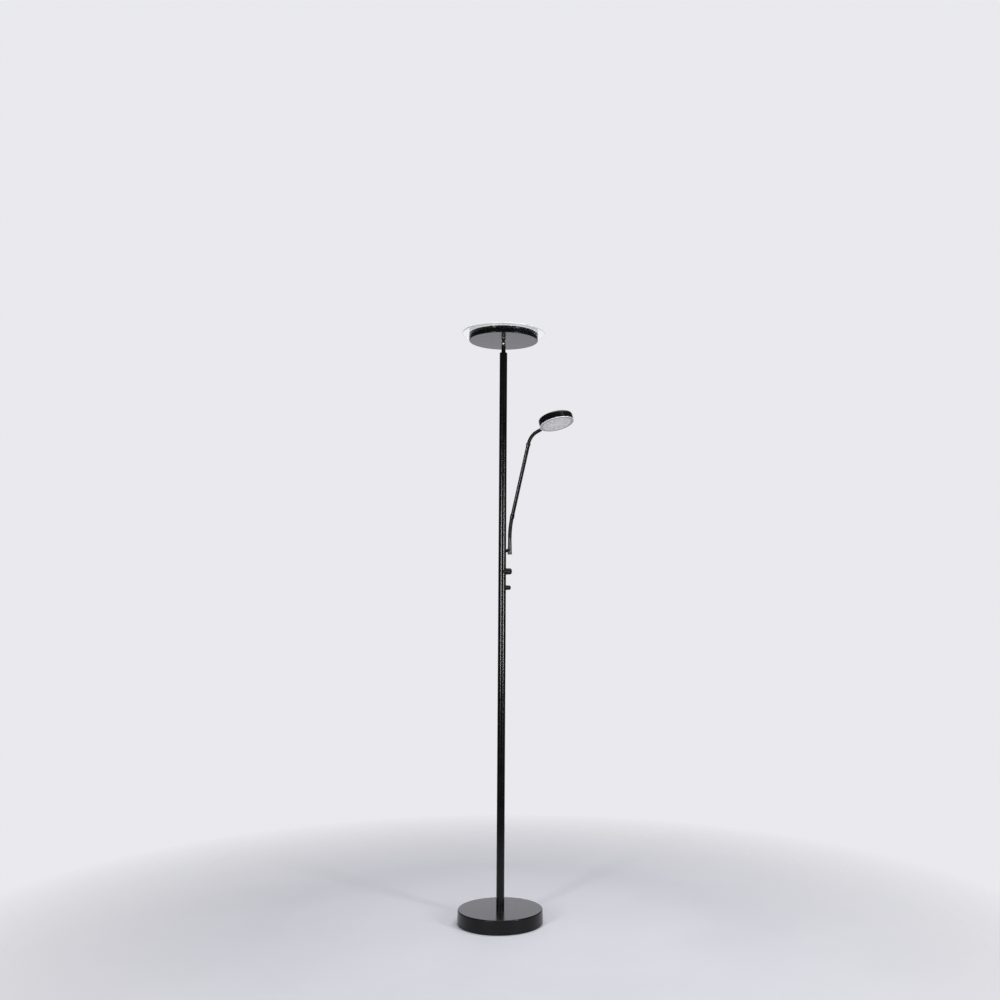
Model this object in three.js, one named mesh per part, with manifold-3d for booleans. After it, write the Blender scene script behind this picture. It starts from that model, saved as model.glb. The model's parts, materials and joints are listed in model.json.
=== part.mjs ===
// Torchiere floor lamp: a round weighted base, a screwed tube pole, a tilting uplighter under a clear glass
// disc, and a reading light on an arm with two flexible necks. Millimetres, +Z up.
// The origin is the centre of the base pad's underside. +X is the lamp's right, -Y its front.
import * as THREE from "three";
import { mergeVertices } from "three/addons/utils/BufferGeometryUtils.js";
import Module from "manifold-3d";

const wasm = await Module();
wasm.setup();

// ---- Driving dimensions ----

// Clearances
const GAP = 0.3; // between pieces that seat in or on each other
const TURN_GAP = 0.4; // between pieces that turn against each other

// Base
const BASE_R = 128;
const BASE_TOP = 42;
const BASE_TAPER = 1; // how much smaller the cover is at its top
const BASE_EDGE_R = 3;
const BASE_FOOT_R = 5; // the cover's rolled lower edge
const WEIGHT_CHAMFER = 2.5; // keeps the weight off that edge
const COVER_WALL = 1.5;
const COVER_LIFT = 0.6; // the cover's rim over the floor
const PAD_THICKNESS = 1.5;
const PLATE_THICKNESS = 1.5;
const RECESS_R = 20; // hollow under the weight for the nut and the lead
const RECESS_TOP = 24;
const CHANNEL_WIDTH = 14;
const CHANNEL_TOP = 21;
const GROMMET_Z = 12;
const GROMMET_HOLE_R = 4.5;
const CORD_HOLE_R = 3.3;

// Threaded pipe that clamps the pole to the base
const NIPPLE_R = 5;
const NIPPLE_BORE_R = 3.5;
const NIPPLE_BOTTOM = 16;
const NIPPLE_RISE = 24; // over the base's top
const WASHER_R = 15;
const WASHER_THICKNESS = 1.5;
const BASE_NUT_R = 9.5;
const BASE_NUT_HEIGHT = 5;
const FOOT_HEIGHT = 20;

// Pole
const POLE_R = 12;
const POLE_WALL = 1.2;
const POLE_TOP = 1738;
const CONTROL_TUBE_Z = 935; // where the tube with the controls starts
const CONTROL_TUBE_LENGTH = 401.5;
const TUBE_JOINT_GAP = 0.2;
const COUPLING_LENGTH = 36;
const COUPLING_BORE_R = 7.5;
const CAP_THICKNESS = 3;
const CAP_CHAMFER = 1.4;
const CAP_SPIGOT = 12;

// Neck under the uplighter
const HINGE_RISE = 29; // the tilt axis over the pole's top
const FORK_R = 6.7;
const FORK_TOP_RISE = 6; // the prongs' tops over the tilt axis
const FORK_EDGE_R = 3.5;
const FORK_BORE_R = 2.5;
const STUD_R = 4;
const STUD_LENGTH = 22;
const SLOT_WIDTH = 5.4;
const SLOT_DEPTH = 8.5; // below the tilt axis
const PIN_R = 2;
const PIN_HEAD_R = 3.3;
const PIN_HEAD_PROUD = 0.8;
const PIN_SEAT_DEPTH = 1.6;
const NECK_NUT_R = 7.2;
const NECK_NUT_HEIGHT = 5;
const EYE_R = 5.8;
const TONGUE_WIDTH = 8;
const TONGUE_COLLAR_R = 5;
const TONGUE_COLLAR_HEIGHT = 1;
const TONGUE_STUD_R = 3.5;
const TONGUE_NUT_R = 7;
const TONGUE_NUT_HEIGHT = 4;

// Uplighter
const DISH_RISE = 9; // the dish's underside over the tilt axis
const DISH_R = 109;
const DISH_HEIGHT = 21.5;
const DISH_WALL = 1.5;
const DISH_EDGE_R = 2;
const GLASS_OVERHANG = 21; // past the dish's rim
const GLASS_THICKNESS = 4;
const GLASS_ARRIS = 0.5;
const UP_BOARD_INNER_R = 58;
const UP_BOARD_THICKNESS = 1.6;
const UP_LED_COUNT = 20;
const LED_SIZE = 3.5;
const LED_HEIGHT = 0.8;
const DIFFUSER_WALL = 2;
const DRIVER_SIZE = [62, 28, 10];
const DRIVER_Y = 32;

// Controls and arm stub, all on one line down the pole's side
const SIDE_AZIMUTH = -25; // degrees from +X; negative is towards the front
const CONTROL_BUSH_R = 3.5;
const SHAFT_R = 2;
const SADDLE_FACE = 1; // the saddle's flat face beyond the pole's surface
const POT_WIDTH = 12;
const POT_DEPTH = 9;
const POT_HEIGHT = 16;
const POT_FACE_BACK = 4; // the control body's face behind the pole's surface
const MAIN_KNOB = { name: "main_dimmer", z: 1047, radius: 10, length: 17, edge: 4 };
const READING_KNOB = { name: "reading_dimmer", z: 997, radius: 7.3, length: 14.2, edge: 3 };

// Arm socket
const SOCKET_REACH = 25.2; // pole axis to socket axis
const SOCKET_BOTTOM = 1099;
const SOCKET_HEIGHT = 48.5;
const SOCKET_BOTTOM_R = 6.7;
const SOCKET_TOP_R = 5.5;
const STUB_RISE = 12; // the stub's axis over the socket's bottom
const STUB_R = 6;
const STUB_WAIST_R = 5.2;
const SPIGOT_R = 4;
const SPIGOT_COLLAR = 3.2;
const SCREW_R = 1.7;
const SCREW_HEAD_HEIGHT = 2.5;
const WEB_THICKNESS = 4;
const BRACKET_STUD_R = 3;
const BRACKET_STUD_BORE_R = 1.8;
const BRACKET_NUT_R = 5.8;
const BRACKET_NUT_HEIGHT = 3;

// Arm, in its own upright plane
const ARM_AZIMUTH = -45;
const LOWER_NECK_R = 5.5;
const LOWER_NECK_LENGTH = 65;
const LOWER_NECK_BEND = 17.2; // degrees, as it stands at rest
const LOWER_NECK_HINGES = 2;
const ARM_TUBE_R = 5.75;
const ARM_TUBE_WALL = 1;
const ARM_TUBE_LENGTH = 231;
const UPPER_NECK_R = 5;
const UPPER_NECK_ARC = 48.4; // length of its bent stretch
const UPPER_NECK_BEND = 55.4;
const UPPER_NECK_HINGES = 3;
const UPPER_NECK_STRAIGHT = 24.9;
const NECK_BORE_R = 2.6;
const NECK_STEP = 6; // longest straight facet along a neck
const LOWER_HINGE_TURN = 30; // most that one hinge opens its gap, degrees
const UPPER_HINGE_TURN = 22;
const FERRULE_WALL = 0.75;
const LOWER_FERRULE = [5, 7.5]; // its reach before and past the tube's end
const UPPER_FERRULE = [6, 2.5];

// Reading light
const READING_R = 52.3;
const READING_HEIGHT = 24;
const READING_ENTRY = 11.5; // the arm's axis over the lens face
const READING_WALL = 1.5;
const READING_EDGE_R = 6;
const LENS_EDGE = 1.2;
const LENS_BORDER = 9.3; // its flat edge round the stepped middle
const LENS_STEP = 0.5;
const LENS_SKIRT = 1.2;
const ENTRY_FERRULE = 8;
const ENTRY_TAIL = 7; // the neck's threaded end inside the housing
const READING_NUT_R = 7;
const READING_NUT_HEIGHT = 3;
const READING_BOARD_INSET = 12.3; // inside the housing's outer radius
const READING_LED_INSET = 10; // ring of LEDs inside the board's edge
const READING_LED_COUNT = 12;

// Inner leads
const LEAD_R = 2.3;
const HEAD_LEAD_R = 1.9;
const LEAD_BEND = 11;

// Roundness
const FINE = 40;
const MEDIUM = 20;
const COARSE = 12;

// ---- Sizes that follow ----

const HINGE_Z = POLE_TOP + HINGE_RISE;
const DISH_Z = HINGE_Z + DISH_RISE;
const DISH_TOP = DISH_Z + DISH_HEIGHT;
const GLASS_R = DISH_R + GLASS_OVERHANG;
const DISH_FLOOR = DISH_Z + DISH_WALL;
const POLE_BORE_R = POLE_R - POLE_WALL;
const PLATE_TOP = PAD_THICKNESS + PLATE_THICKNESS;
const COVER_CEILING = BASE_TOP - COVER_WALL;
const SOCKET_TOP = SOCKET_BOTTOM + SOCKET_HEIGHT;
const STUB_Z = SOCKET_BOTTOM + STUB_RISE;
const FIRST_JOINT_Z = (BASE_TOP + CONTROL_TUBE_Z) / 2;
const UPPER_JOINT_Z = CONTROL_TUBE_Z + CONTROL_TUBE_LENGTH;

// ---- Materials ----

function finish(color, roughness, metalness, opacity = 1) {
  return () =>
    new THREE.MeshStandardMaterial({ color, roughness, metalness, opacity, transparent: opacity < 1 });
}

const black = finish(0x111113, 0.35, 0.0);
const blackPlastic = finish(0x151517, 0.5, 0.0);
const rubber = finish(0x0c0c0c, 0.8, 0.0);
const steel = finish(0x9a9da1, 0.4, 1.0);
const chrome = finish(0xe6e8ea, 0.1, 1.0);
const brass = finish(0xb8923c, 0.35, 1.0);
const concrete = finish(0x8d8b86, 0.9, 0.0);
const board = finish(0xe9ebe8, 0.6, 0.0);
const opal = finish(0xe8e9ea, 0.5, 0.0);
const frosted = finish(0xc9cbce, 0.35, 0.0);
const clearGlass = finish(0xdfe9e6, 0.05, 0.0, 0.35);
const felt = finish(0x1a1a1a, 0.95, 0.0);

// ---- Helpers ----

const degrees = THREE.MathUtils.degToRad;

// Ring or solid of revolution about Z, from an anticlockwise outline of [radius, z] points.
function turned(outline, sides = MEDIUM) {
  const points = outline.map(([r, z]) => new THREE.Vector2(r, z));
  return new THREE.LatheGeometry(points, sides).rotateX(Math.PI / 2);
}

function rod(radius, from, to, sides = MEDIUM) {
  return turned([[0, from], [radius, from], [radius, to], [0, to]], sides);
}

function sleeve(outer, inner, from, to, sides = MEDIUM) {
  return turned([[inner, from], [outer, from], [outer, to], [inner, to], [inner, from]], sides);
}

// Points of a quarter-round edge about [r, z], turning from one angle to another in degrees.
function edge(r, z, radius, from, to, steps = 3) {
  return Array.from({ length: steps + 1 }, (_, i) => {
    const angle = degrees(from + ((to - from) * i) / steps);
    return [r + radius * Math.cos(angle), z + radius * Math.sin(angle)];
  });
}

// Six-sided nut about Z, with a round bore.
function hexNut(radius, bore, from, height) {
  const shape = new THREE.Shape();
  for (let i = 0; i < 6; i += 1) {
    const angle = (i * Math.PI) / 3;
    const corner = [radius * Math.cos(angle), radius * Math.sin(angle)];
    if (i === 0) shape.moveTo(...corner);
    else shape.lineTo(...corner);
  }
  shape.closePath();
  shape.holes.push(new THREE.Path().absarc(0, 0, bore, 0, 2 * Math.PI, true));
  const options = { depth: height, bevelEnabled: false, curveSegments: COARSE / 2 };
  return new THREE.ExtrudeGeometry(shape, options).translate(0, 0, from);
}

function block(width, depth, height, x, y, z) {
  return new THREE.BoxGeometry(width, depth, height).translate(x, y, z);
}

// Turns a piece built about Z so that its axis runs along +X, or along +Y.
const alongX = (geometry) => geometry.rotateY(Math.PI / 2);
const alongY = (geometry) => geometry.rotateX(-Math.PI / 2);

// Round tube, or solid cord when it has no bore, along a curve. A full circle takes two sides a segment.
function piped(curve, outer, bore, steps, sides = COARSE) {
  const shape = new THREE.Shape().absarc(0, 0, outer, 0, 2 * Math.PI, false);
  if (bore > 0) shape.holes.push(new THREE.Path().absarc(0, 0, bore, 0, 2 * Math.PI, true));
  return new THREE.ExtrudeGeometry(shape, { steps, extrudePath: curve, curveSegments: sides / 2 });
}

function solid(geometry) {
  const bare = geometry.index ? geometry.toNonIndexed() : geometry.clone();
  bare.deleteAttribute("normal");
  bare.deleteAttribute("uv");
  const merged = mergeVertices(bare, 1e-4);
  const vertProperties = merged.attributes.position.array;
  const triVerts = new Uint32Array(merged.index.array);
  return new wasm.Manifold(new wasm.Mesh({ numProp: 3, vertProperties, triVerts }));
}

function geometryOf(manifold) {
  const { vertProperties, triVerts } = manifold.getMesh();
  const geometry = new THREE.BufferGeometry();
  geometry.setAttribute("position", new THREE.BufferAttribute(new Float32Array(vertProperties), 3));
  geometry.setIndex(new THREE.BufferAttribute(new Uint32Array(triVerts), 1));
  geometry.computeVertexNormals();
  return geometry;
}

// The first geometry with the others joined on, then with every cutter taken away.
function carved(parts, cutters = []) {
  const joined = parts.map(solid).reduce((sum, part) => sum.add(part));
  return geometryOf(cutters.map(solid).reduce((rest, cutter) => rest.subtract(cutter), joined));
}

function piece(group, name, geometry, material) {
  const mesh = new THREE.Mesh(geometry, material());
  mesh.name = name;
  group.add(mesh);
  return mesh;
}

// ---- Base ----

function baseCover() {
  const topR = BASE_R - BASE_TAPER;
  const innerEdge = BASE_EDGE_R - COVER_WALL;
  const footR = BASE_R - BASE_FOOT_R;
  const footZ = COVER_LIFT + BASE_FOOT_R;
  const outline = [
    ...edge(footR, footZ, BASE_FOOT_R, -90, 0, 4),
    ...edge(topR - BASE_EDGE_R, BASE_TOP - BASE_EDGE_R, BASE_EDGE_R, 0, 90),
    [NIPPLE_R + GAP, BASE_TOP],
    [NIPPLE_R + GAP, COVER_CEILING],
    ...edge(topR - BASE_EDGE_R, BASE_TOP - BASE_EDGE_R, innerEdge, 90, 0, 2),
    ...edge(footR, footZ, BASE_FOOT_R - COVER_WALL, 0, -90),
    [footR, COVER_LIFT],
  ];
  const hole = alongY(rod(GROMMET_HOLE_R, BASE_R - 10, BASE_R + 10, COARSE)).translate(0, 0, GROMMET_Z);
  return carved([turned(outline, FINE)], [hole]);
}

function baseWeight() {
  const radius = BASE_R - BASE_TAPER - COVER_WALL - 2 * GAP;
  const top = COVER_CEILING - GAP;
  const outline = [
    [RECESS_R, PLATE_TOP],
    [radius - WEIGHT_CHAMFER, PLATE_TOP],
    [radius, PLATE_TOP + WEIGHT_CHAMFER],
    [radius, top - BASE_EDGE_R],
    [radius - BASE_EDGE_R, top],
    [NIPPLE_R + GAP, top],
    [NIPPLE_R + GAP, RECESS_TOP],
    [RECESS_R, RECESS_TOP],
    [RECESS_R, PLATE_TOP],
  ];
  const length = BASE_R;
  const channel = block(CHANNEL_WIDTH, length, CHANNEL_TOP, 0, length / 2 + NIPPLE_R, CHANNEL_TOP / 2);
  return carved([turned(outline, FINE)], [channel]);
}

// Rubber bush in the cover's rear wall, where the mains cord enters.
function grommet() {
  const wallIn = BASE_R - BASE_TAPER - COVER_WALL;
  const neck = GROMMET_HOLE_R - GAP;
  const flange = GROMMET_HOLE_R + 2;
  const outline = [
    [CORD_HOLE_R, wallIn - 2.5],
    [neck, wallIn - 2.5],
    [flange - 1, wallIn - GAP - 0.8],
    [flange - 1, wallIn - GAP],
    [neck, wallIn - GAP],
    [neck, BASE_R + GAP],
    [flange, BASE_R + GAP],
    [flange, BASE_R + 2],
    [flange - 1, BASE_R + 3],
    [CORD_HOLE_R, BASE_R + 3],
    [CORD_HOLE_R, wallIn - 2.5],
  ];
  return alongY(turned(outline, COARSE)).translate(0, 0, GROMMET_Z);
}

function addBase(lamp) {
  const rimR = BASE_R - BASE_FOOT_R - GAP;
  const washerBottom = RECESS_TOP - WASHER_THICKNESS;
  const nutBottom = washerBottom - BASE_NUT_HEIGHT;
  const nippleTop = BASE_TOP + NIPPLE_RISE;
  const footTop = BASE_TOP + FOOT_HEIGHT;
  piece(lamp, "base_pad", rod(rimR - 2, 0, PAD_THICKNESS, FINE), felt);
  piece(lamp, "base_plate", rod(rimR, PAD_THICKNESS, PLATE_TOP, FINE), steel);
  piece(lamp, "base_weight", baseWeight(), concrete);
  piece(lamp, "base_cover", baseCover(), black);
  piece(lamp, "cord_grommet", grommet(), rubber);
  piece(lamp, "base_pipe", sleeve(NIPPLE_R, NIPPLE_BORE_R, NIPPLE_BOTTOM, nippleTop, COARSE), steel);
  piece(lamp, "base_washer", sleeve(WASHER_R, NIPPLE_R + GAP, washerBottom, RECESS_TOP, COARSE), steel);
  piece(lamp, "base_nut", hexNut(BASE_NUT_R, NIPPLE_R + GAP, nutBottom, BASE_NUT_HEIGHT), steel);
  piece(lamp, "pole_foot", sleeve(POLE_BORE_R - GAP, NIPPLE_R + GAP, BASE_TOP, footTop, COARSE), steel);
}

// ---- Pole ----

function tubeSection(from, to) {
  return sleeve(POLE_R, POLE_BORE_R, from, to - TUBE_JOINT_GAP);
}

function controlTube() {
  const tube = tubeSection(CONTROL_TUBE_Z, UPPER_JOINT_Z);
  const holes = [
    [CONTROL_BUSH_R, MAIN_KNOB.z],
    [CONTROL_BUSH_R, READING_KNOB.z],
    [BRACKET_STUD_R, STUB_Z],
  ];
  const cutters = holes.map(([radius, z]) => onSide(alongX(rod(radius + GAP, 0, 2 * POLE_R, COARSE)), z));
  return carved([tube], cutters);
}

function poleCap() {
  const spigotR = POLE_BORE_R - GAP;
  const shoulder = POLE_TOP - CAP_THICKNESS;
  return turned([
    [STUD_R + GAP, shoulder - CAP_SPIGOT],
    [spigotR, shoulder - CAP_SPIGOT],
    [spigotR, shoulder],
    [POLE_R, shoulder],
    [POLE_R, POLE_TOP - CAP_CHAMFER],
    [POLE_R - CAP_CHAMFER, POLE_TOP],
    [STUD_R + GAP, POLE_TOP],
    [STUD_R + GAP, shoulder - CAP_SPIGOT],
  ]);
}

function addPole(lamp) {
  const joints = [FIRST_JOINT_Z, CONTROL_TUBE_Z, UPPER_JOINT_Z];
  piece(lamp, "pole_tube_lower", tubeSection(BASE_TOP, FIRST_JOINT_Z), black);
  piece(lamp, "pole_tube_middle", tubeSection(FIRST_JOINT_Z, CONTROL_TUBE_Z), black);
  piece(lamp, "pole_tube_controls", controlTube(), black);
  piece(lamp, "pole_tube_upper", tubeSection(UPPER_JOINT_Z, POLE_TOP - CAP_THICKNESS), black);
  joints.forEach((z, i) => {
    const ends = [z - COUPLING_LENGTH / 2, z + COUPLING_LENGTH / 2];
    const coupling = sleeve(POLE_BORE_R - GAP, COUPLING_BORE_R, ...ends, COARSE);
    piece(lamp, `pole_coupling_${i + 1}`, coupling, steel);
  });
  piece(lamp, "pole_cap", poleCap(), black);
}

// Mains lead inside the base and pole, and the thinner lead from the controls up to the fork.
function addLeads(lamp) {
  const floor = GROMMET_Z - 3;
  const route = new THREE.CurvePath();
  const at = (y, z) => new THREE.Vector3(0, y, z);
  const bendTop = floor + LEAD_BEND;
  route.add(new THREE.LineCurve3(at(BASE_R - 14, floor), at(LEAD_BEND, floor)));
  route.add(new THREE.QuadraticBezierCurve3(at(LEAD_BEND, floor), at(0, floor), at(0, bendTop)));
  const mainsTop = READING_KNOB.z - POT_HEIGHT / 2 - 3;
  const bent = piped(route, LEAD_R, 0, 24, 8);
  piece(lamp, "base_lead", bent, rubber);
  piece(lamp, "pole_lead_lower", rod(LEAD_R, bendTop + GAP, mainsTop, 8), rubber);
  const headFrom = MAIN_KNOB.z + POT_HEIGHT / 2 + 3;
  piece(lamp, "pole_lead_upper", rod(HEAD_LEAD_R, headFrom, HINGE_Z - SLOT_DEPTH - 1, 8), rubber);
}

// ---- Neck and uplighter ----

function fork() {
  const top = HINGE_Z + FORK_TOP_RISE;
  const outline = [
    [FORK_BORE_R, POLE_TOP - STUD_LENGTH],
    [STUD_R, POLE_TOP - STUD_LENGTH],
    [STUD_R, POLE_TOP],
    [FORK_R, POLE_TOP],
    ...edge(FORK_R - FORK_EDGE_R, top - FORK_EDGE_R, FORK_EDGE_R, 0, 90),
    [FORK_BORE_R, top],
    [FORK_BORE_R, POLE_TOP - STUD_LENGTH],
  ];
  const slotHeight = SLOT_DEPTH + 2 * FORK_TOP_RISE;
  const slotZ = HINGE_Z - SLOT_DEPTH + slotHeight / 2;
  const slot = block(4 * FORK_R, SLOT_WIDTH, slotHeight, 0, 0, slotZ);
  const seatFrom = FORK_R - PIN_SEAT_DEPTH;
  const hole = alongY(rod(PIN_R + GAP, -2 * FORK_R, 2 * FORK_R, COARSE));
  const frontSeat = alongY(rod(PIN_HEAD_R + GAP, -2 * FORK_R, -seatFrom, COARSE));
  const rearSeat = alongY(rod(PIN_HEAD_R + GAP, seatFrom, 2 * FORK_R, COARSE));
  const round = [hole, frontSeat, rearSeat].map((cutter) => cutter.translate(0, 0, HINGE_Z));
  return carved([turned(outline)], [slot, ...round]);
}

function tongue() {
  const thickness = SLOT_WIDTH - 2 * GAP;
  const collarBottom = DISH_Z - TONGUE_COLLAR_HEIGHT;
  const neckHeight = collarBottom - HINGE_Z + TONGUE_COLLAR_HEIGHT / 2;
  const eye = alongY(rod(EYE_R, -thickness / 2, thickness / 2, MEDIUM)).translate(0, 0, HINGE_Z);
  const neck = block(TONGUE_WIDTH, thickness, neckHeight, 0, 0, HINGE_Z + neckHeight / 2);
  const studTop = DISH_FLOOR + TONGUE_NUT_HEIGHT + 1;
  const stud = turned([
    [0, collarBottom],
    [TONGUE_COLLAR_R, collarBottom],
    [TONGUE_COLLAR_R, DISH_Z],
    [TONGUE_STUD_R, DISH_Z],
    [TONGUE_STUD_R, studTop],
    [0, studTop],
  ], COARSE);
  const bore = alongY(rod(PIN_R + GAP, -EYE_R, EYE_R, COARSE)).translate(0, 0, HINGE_Z);
  return carved([eye, neck, stud], [bore]);
}

// Domed screw head and shank, from the front.
function tiltScrew() {
  const seat = FORK_R - PIN_SEAT_DEPTH;
  const face = FORK_R + PIN_HEAD_PROUD;
  const outline = [
    [0, -face],
    [PIN_HEAD_R * 0.6, -face + 0.2],
    [PIN_HEAD_R * 0.9, -face + 0.8],
    [PIN_HEAD_R, -face + 1.5],
    [PIN_HEAD_R, -seat],
    [PIN_R, -seat],
    [PIN_R, seat + 1.2],
    [0, seat + 1.2],
  ];
  return alongY(turned(outline, COARSE)).translate(0, 0, HINGE_Z);
}

function tiltNut() {
  const seat = FORK_R - PIN_SEAT_DEPTH;
  return alongY(hexNut(PIN_HEAD_R, PIN_R + GAP / 2, seat, 2)).translate(0, 0, HINGE_Z);
}

function dish() {
  const corner = [DISH_R - DISH_EDGE_R, DISH_Z + DISH_EDGE_R];
  const innerR = DISH_R - DISH_WALL;
  const outline = [
    [TONGUE_STUD_R + GAP, DISH_Z],
    ...edge(...corner, DISH_EDGE_R, -90, 0),
    [DISH_R, DISH_TOP],
    [innerR, DISH_TOP],
    [innerR, DISH_FLOOR],
    [TONGUE_STUD_R + GAP, DISH_FLOOR],
    [TONGUE_STUD_R + GAP, DISH_Z],
  ];
  return turned(outline, FINE);
}

// Light-emitting packages in a ring, on the upper or lower side of a board.
function leds(count, ringR, surface, side) {
  return Array.from({ length: count }, (_, i) => {
    const sunk = LED_HEIGHT / 4;
    const height = LED_HEIGHT + sunk;
    const z = surface + side * (height / 2 - sunk);
    return block(LED_SIZE, LED_SIZE, height, ringR, 0, z).rotateZ((2 * Math.PI * i) / count);
  });
}

function upBoard() {
  const from = DISH_FLOOR + GAP;
  const top = from + UP_BOARD_THICKNESS;
  const outer = DISH_R - DISH_WALL - GAP;
  return carved([
    sleeve(outer, UP_BOARD_INNER_R, from, top),
    ...leds(UP_LED_COUNT, (UP_BOARD_INNER_R + outer) / 2, top, 1),
  ]);
}

// Opal cover under the glass, with a skirt that stands on the board.
function diffuser() {
  const outer = DISH_R - DISH_WALL - GAP;
  const bottom = DISH_FLOOR + GAP + UP_BOARD_THICKNESS;
  const top = DISH_TOP - GAP;
  return turned([
    [0, top - DIFFUSER_WALL],
    [outer - DIFFUSER_WALL, top - DIFFUSER_WALL],
    [outer - DIFFUSER_WALL, bottom],
    [outer, bottom],
    [outer, top],
    [0, top],
  ], FINE);
}

function glassDisc() {
  const top = DISH_TOP + GLASS_THICKNESS;
  return turned([
    [0, DISH_TOP],
    [GLASS_R - GLASS_ARRIS, DISH_TOP],
    [GLASS_R, DISH_TOP + GLASS_ARRIS],
    [GLASS_R, top - GLASS_ARRIS],
    [GLASS_R - GLASS_ARRIS, top],
    [0, top],
  ], FINE);
}

function addUplighter(lamp) {
  const capBottom = POLE_TOP - CAP_THICKNESS - CAP_SPIGOT;
  const neckNut = hexNut(NECK_NUT_R, STUD_R + GAP, capBottom - NECK_NUT_HEIGHT, NECK_NUT_HEIGHT);
  const tongueNut = hexNut(TONGUE_NUT_R, TONGUE_STUD_R + GAP, DISH_FLOOR, TONGUE_NUT_HEIGHT);
  const driver = block(...DRIVER_SIZE, 0, DRIVER_Y, DISH_FLOOR + GAP + DRIVER_SIZE[2] / 2);
  piece(lamp, "neck_fork", fork(), black);
  piece(lamp, "neck_nut", neckNut, steel);
  piece(lamp, "tilt_screw", tiltScrew(), chrome);
  piece(lamp, "tilt_nut", tiltNut(), chrome);
  piece(lamp, "head_tongue", tongue(), black);
  piece(lamp, "head_tongue_nut", tongueNut, steel);
  piece(lamp, "head_dish", dish(), black);
  piece(lamp, "head_led_board", upBoard(), board);
  piece(lamp, "head_led_driver", driver, blackPlastic);
  piece(lamp, "head_diffuser", diffuser(), opal);
  piece(lamp, "head_glass", glassDisc(), clearGlass);
}

// ---- Controls ----

// Moves a geometry that runs along +X from the pole's axis to its height on the control line.
function onSide(geometry, z) {
  return geometry.rotateZ(degrees(SIDE_AZIMUTH)).translate(0, 0, z);
}

function addControl(lamp, { name, z, radius, length, edge: edgeR }) {
  const faceX = POLE_R + SADDLE_FACE;
  const bushTip = faceX + 2.5;
  const potFace = POLE_R - POT_FACE_BACK;
  const pot = block(POT_DEPTH, POT_WIDTH, POT_HEIGHT, potFace - POT_DEPTH / 2, 0, 0);
  const bush = alongX(rod(CONTROL_BUSH_R, potFace - 1, bushTip, COARSE));
  const shaftFrom = potFace - POT_DEPTH + 2;
  const shaftBore = alongX(rod(SHAFT_R + GAP, shaftFrom, bushTip + 1, COARSE));
  piece(lamp, `${name}_body`, onSide(carved([pot, bush], [shaftBore]), z), blackPlastic);

  // The saddle fills the wedge between the round pole and the knob's flat back.
  const pad = alongX(rod(radius, POLE_R / 4, faceX));
  const pole = rod(POLE_R + GAP, -2 * radius, 2 * radius);
  const bushHole = alongX(rod(CONTROL_BUSH_R + GAP, 0, 2 * faceX, COARSE));
  piece(lamp, `${name}_saddle`, onSide(carved([pad], [pole, bushHole]), z), blackPlastic);

  const back = faceX + TURN_GAP;
  const tip = back + length;
  const pocketR = CONTROL_BUSH_R + 1.5;
  const pocketEnd = bushTip + 1;
  const shaftTip = tip - edgeR;
  const knob = turned([
    [pocketR, back],
    [radius, back],
    ...edge(radius - edgeR, tip - edgeR, edgeR, 0, 90, 4),
    [0, tip],
    [0, shaftTip + GAP],
    [SHAFT_R + GAP, shaftTip + GAP],
    [SHAFT_R + GAP, pocketEnd],
    [pocketR, pocketEnd],
    [pocketR, back],
  ]);
  piece(lamp, `${name}_knob`, onSide(alongX(knob), z), blackPlastic);
  piece(lamp, `${name}_shaft`, onSide(alongX(rod(SHAFT_R, shaftFrom + GAP, shaftTip, COARSE)), z), steel);
}

// ---- Arm socket ----

function armSocket() {
  const body = turned([
    [0, SOCKET_BOTTOM],
    [SOCKET_BOTTOM_R - 0.6, SOCKET_BOTTOM],
    [SOCKET_BOTTOM_R, SOCKET_BOTTOM + 0.6],
    [SOCKET_TOP_R, SOCKET_TOP],
    [0, SOCKET_TOP],
  ]).translate(SOCKET_REACH, 0, 0);
  const waistX = (POLE_R + SOCKET_REACH - SOCKET_BOTTOM_R) / 2;
  const stub = alongX(turned([
    [0, POLE_R / 2],
    [STUB_R, POLE_R / 2],
    [STUB_R, POLE_R],
    [STUB_WAIST_R, waistX],
    [STUB_WAIST_R, SOCKET_REACH],
    [0, SOCKET_REACH],
  ])).translate(0, 0, STUB_Z);
  const pole = rod(POLE_R + GAP, SOCKET_BOTTOM, SOCKET_TOP);
  const webTop = SOCKET_BOTTOM + SCREW_HEAD_HEIGHT + 1 + WEB_THICKNESS;
  const bore = rod(SPIGOT_R + TURN_GAP / 2, webTop, SOCKET_TOP + 1, COARSE).translate(SOCKET_REACH, 0, 0);
  const screwHole = rod(SCREW_R + GAP, SOCKET_BOTTOM - 1, webTop + 1, COARSE).translate(SOCKET_REACH, 0, 0);
  const headBottom = SOCKET_BOTTOM - 1;
  const headSeat = rod(SPIGOT_R, headBottom, webTop - WEB_THICKNESS, COARSE).translate(SOCKET_REACH, 0, 0);
  const studHole = alongX(rod(BRACKET_STUD_R + GAP, 0, SOCKET_REACH, COARSE)).translate(0, 0, STUB_Z);
  return carved([body, stub], [pole, bore, screwHole, headSeat, studHole]);
}

function addArmSocket(lamp) {
  const nutFace = Math.sqrt(POLE_BORE_R ** 2 - BRACKET_NUT_R ** 2) - GAP;
  const nutFrom = nutFace - BRACKET_NUT_HEIGHT;
  const studTo = SOCKET_REACH - SPIGOT_R - 2 * TURN_GAP;
  const stud = alongX(sleeve(BRACKET_STUD_R, BRACKET_STUD_BORE_R, nutFrom - 0.5, studTo, COARSE));
  const nut = alongX(hexNut(BRACKET_NUT_R, BRACKET_STUD_R + GAP, nutFrom, BRACKET_NUT_HEIGHT));
  piece(lamp, "arm_socket", onSide(armSocket(), 0), black);
  piece(lamp, "arm_socket_stud", onSide(stud, STUB_Z), brass);
  piece(lamp, "arm_socket_nut", onSide(nut, STUB_Z), brass);
}

// ---- Arm ----

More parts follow.
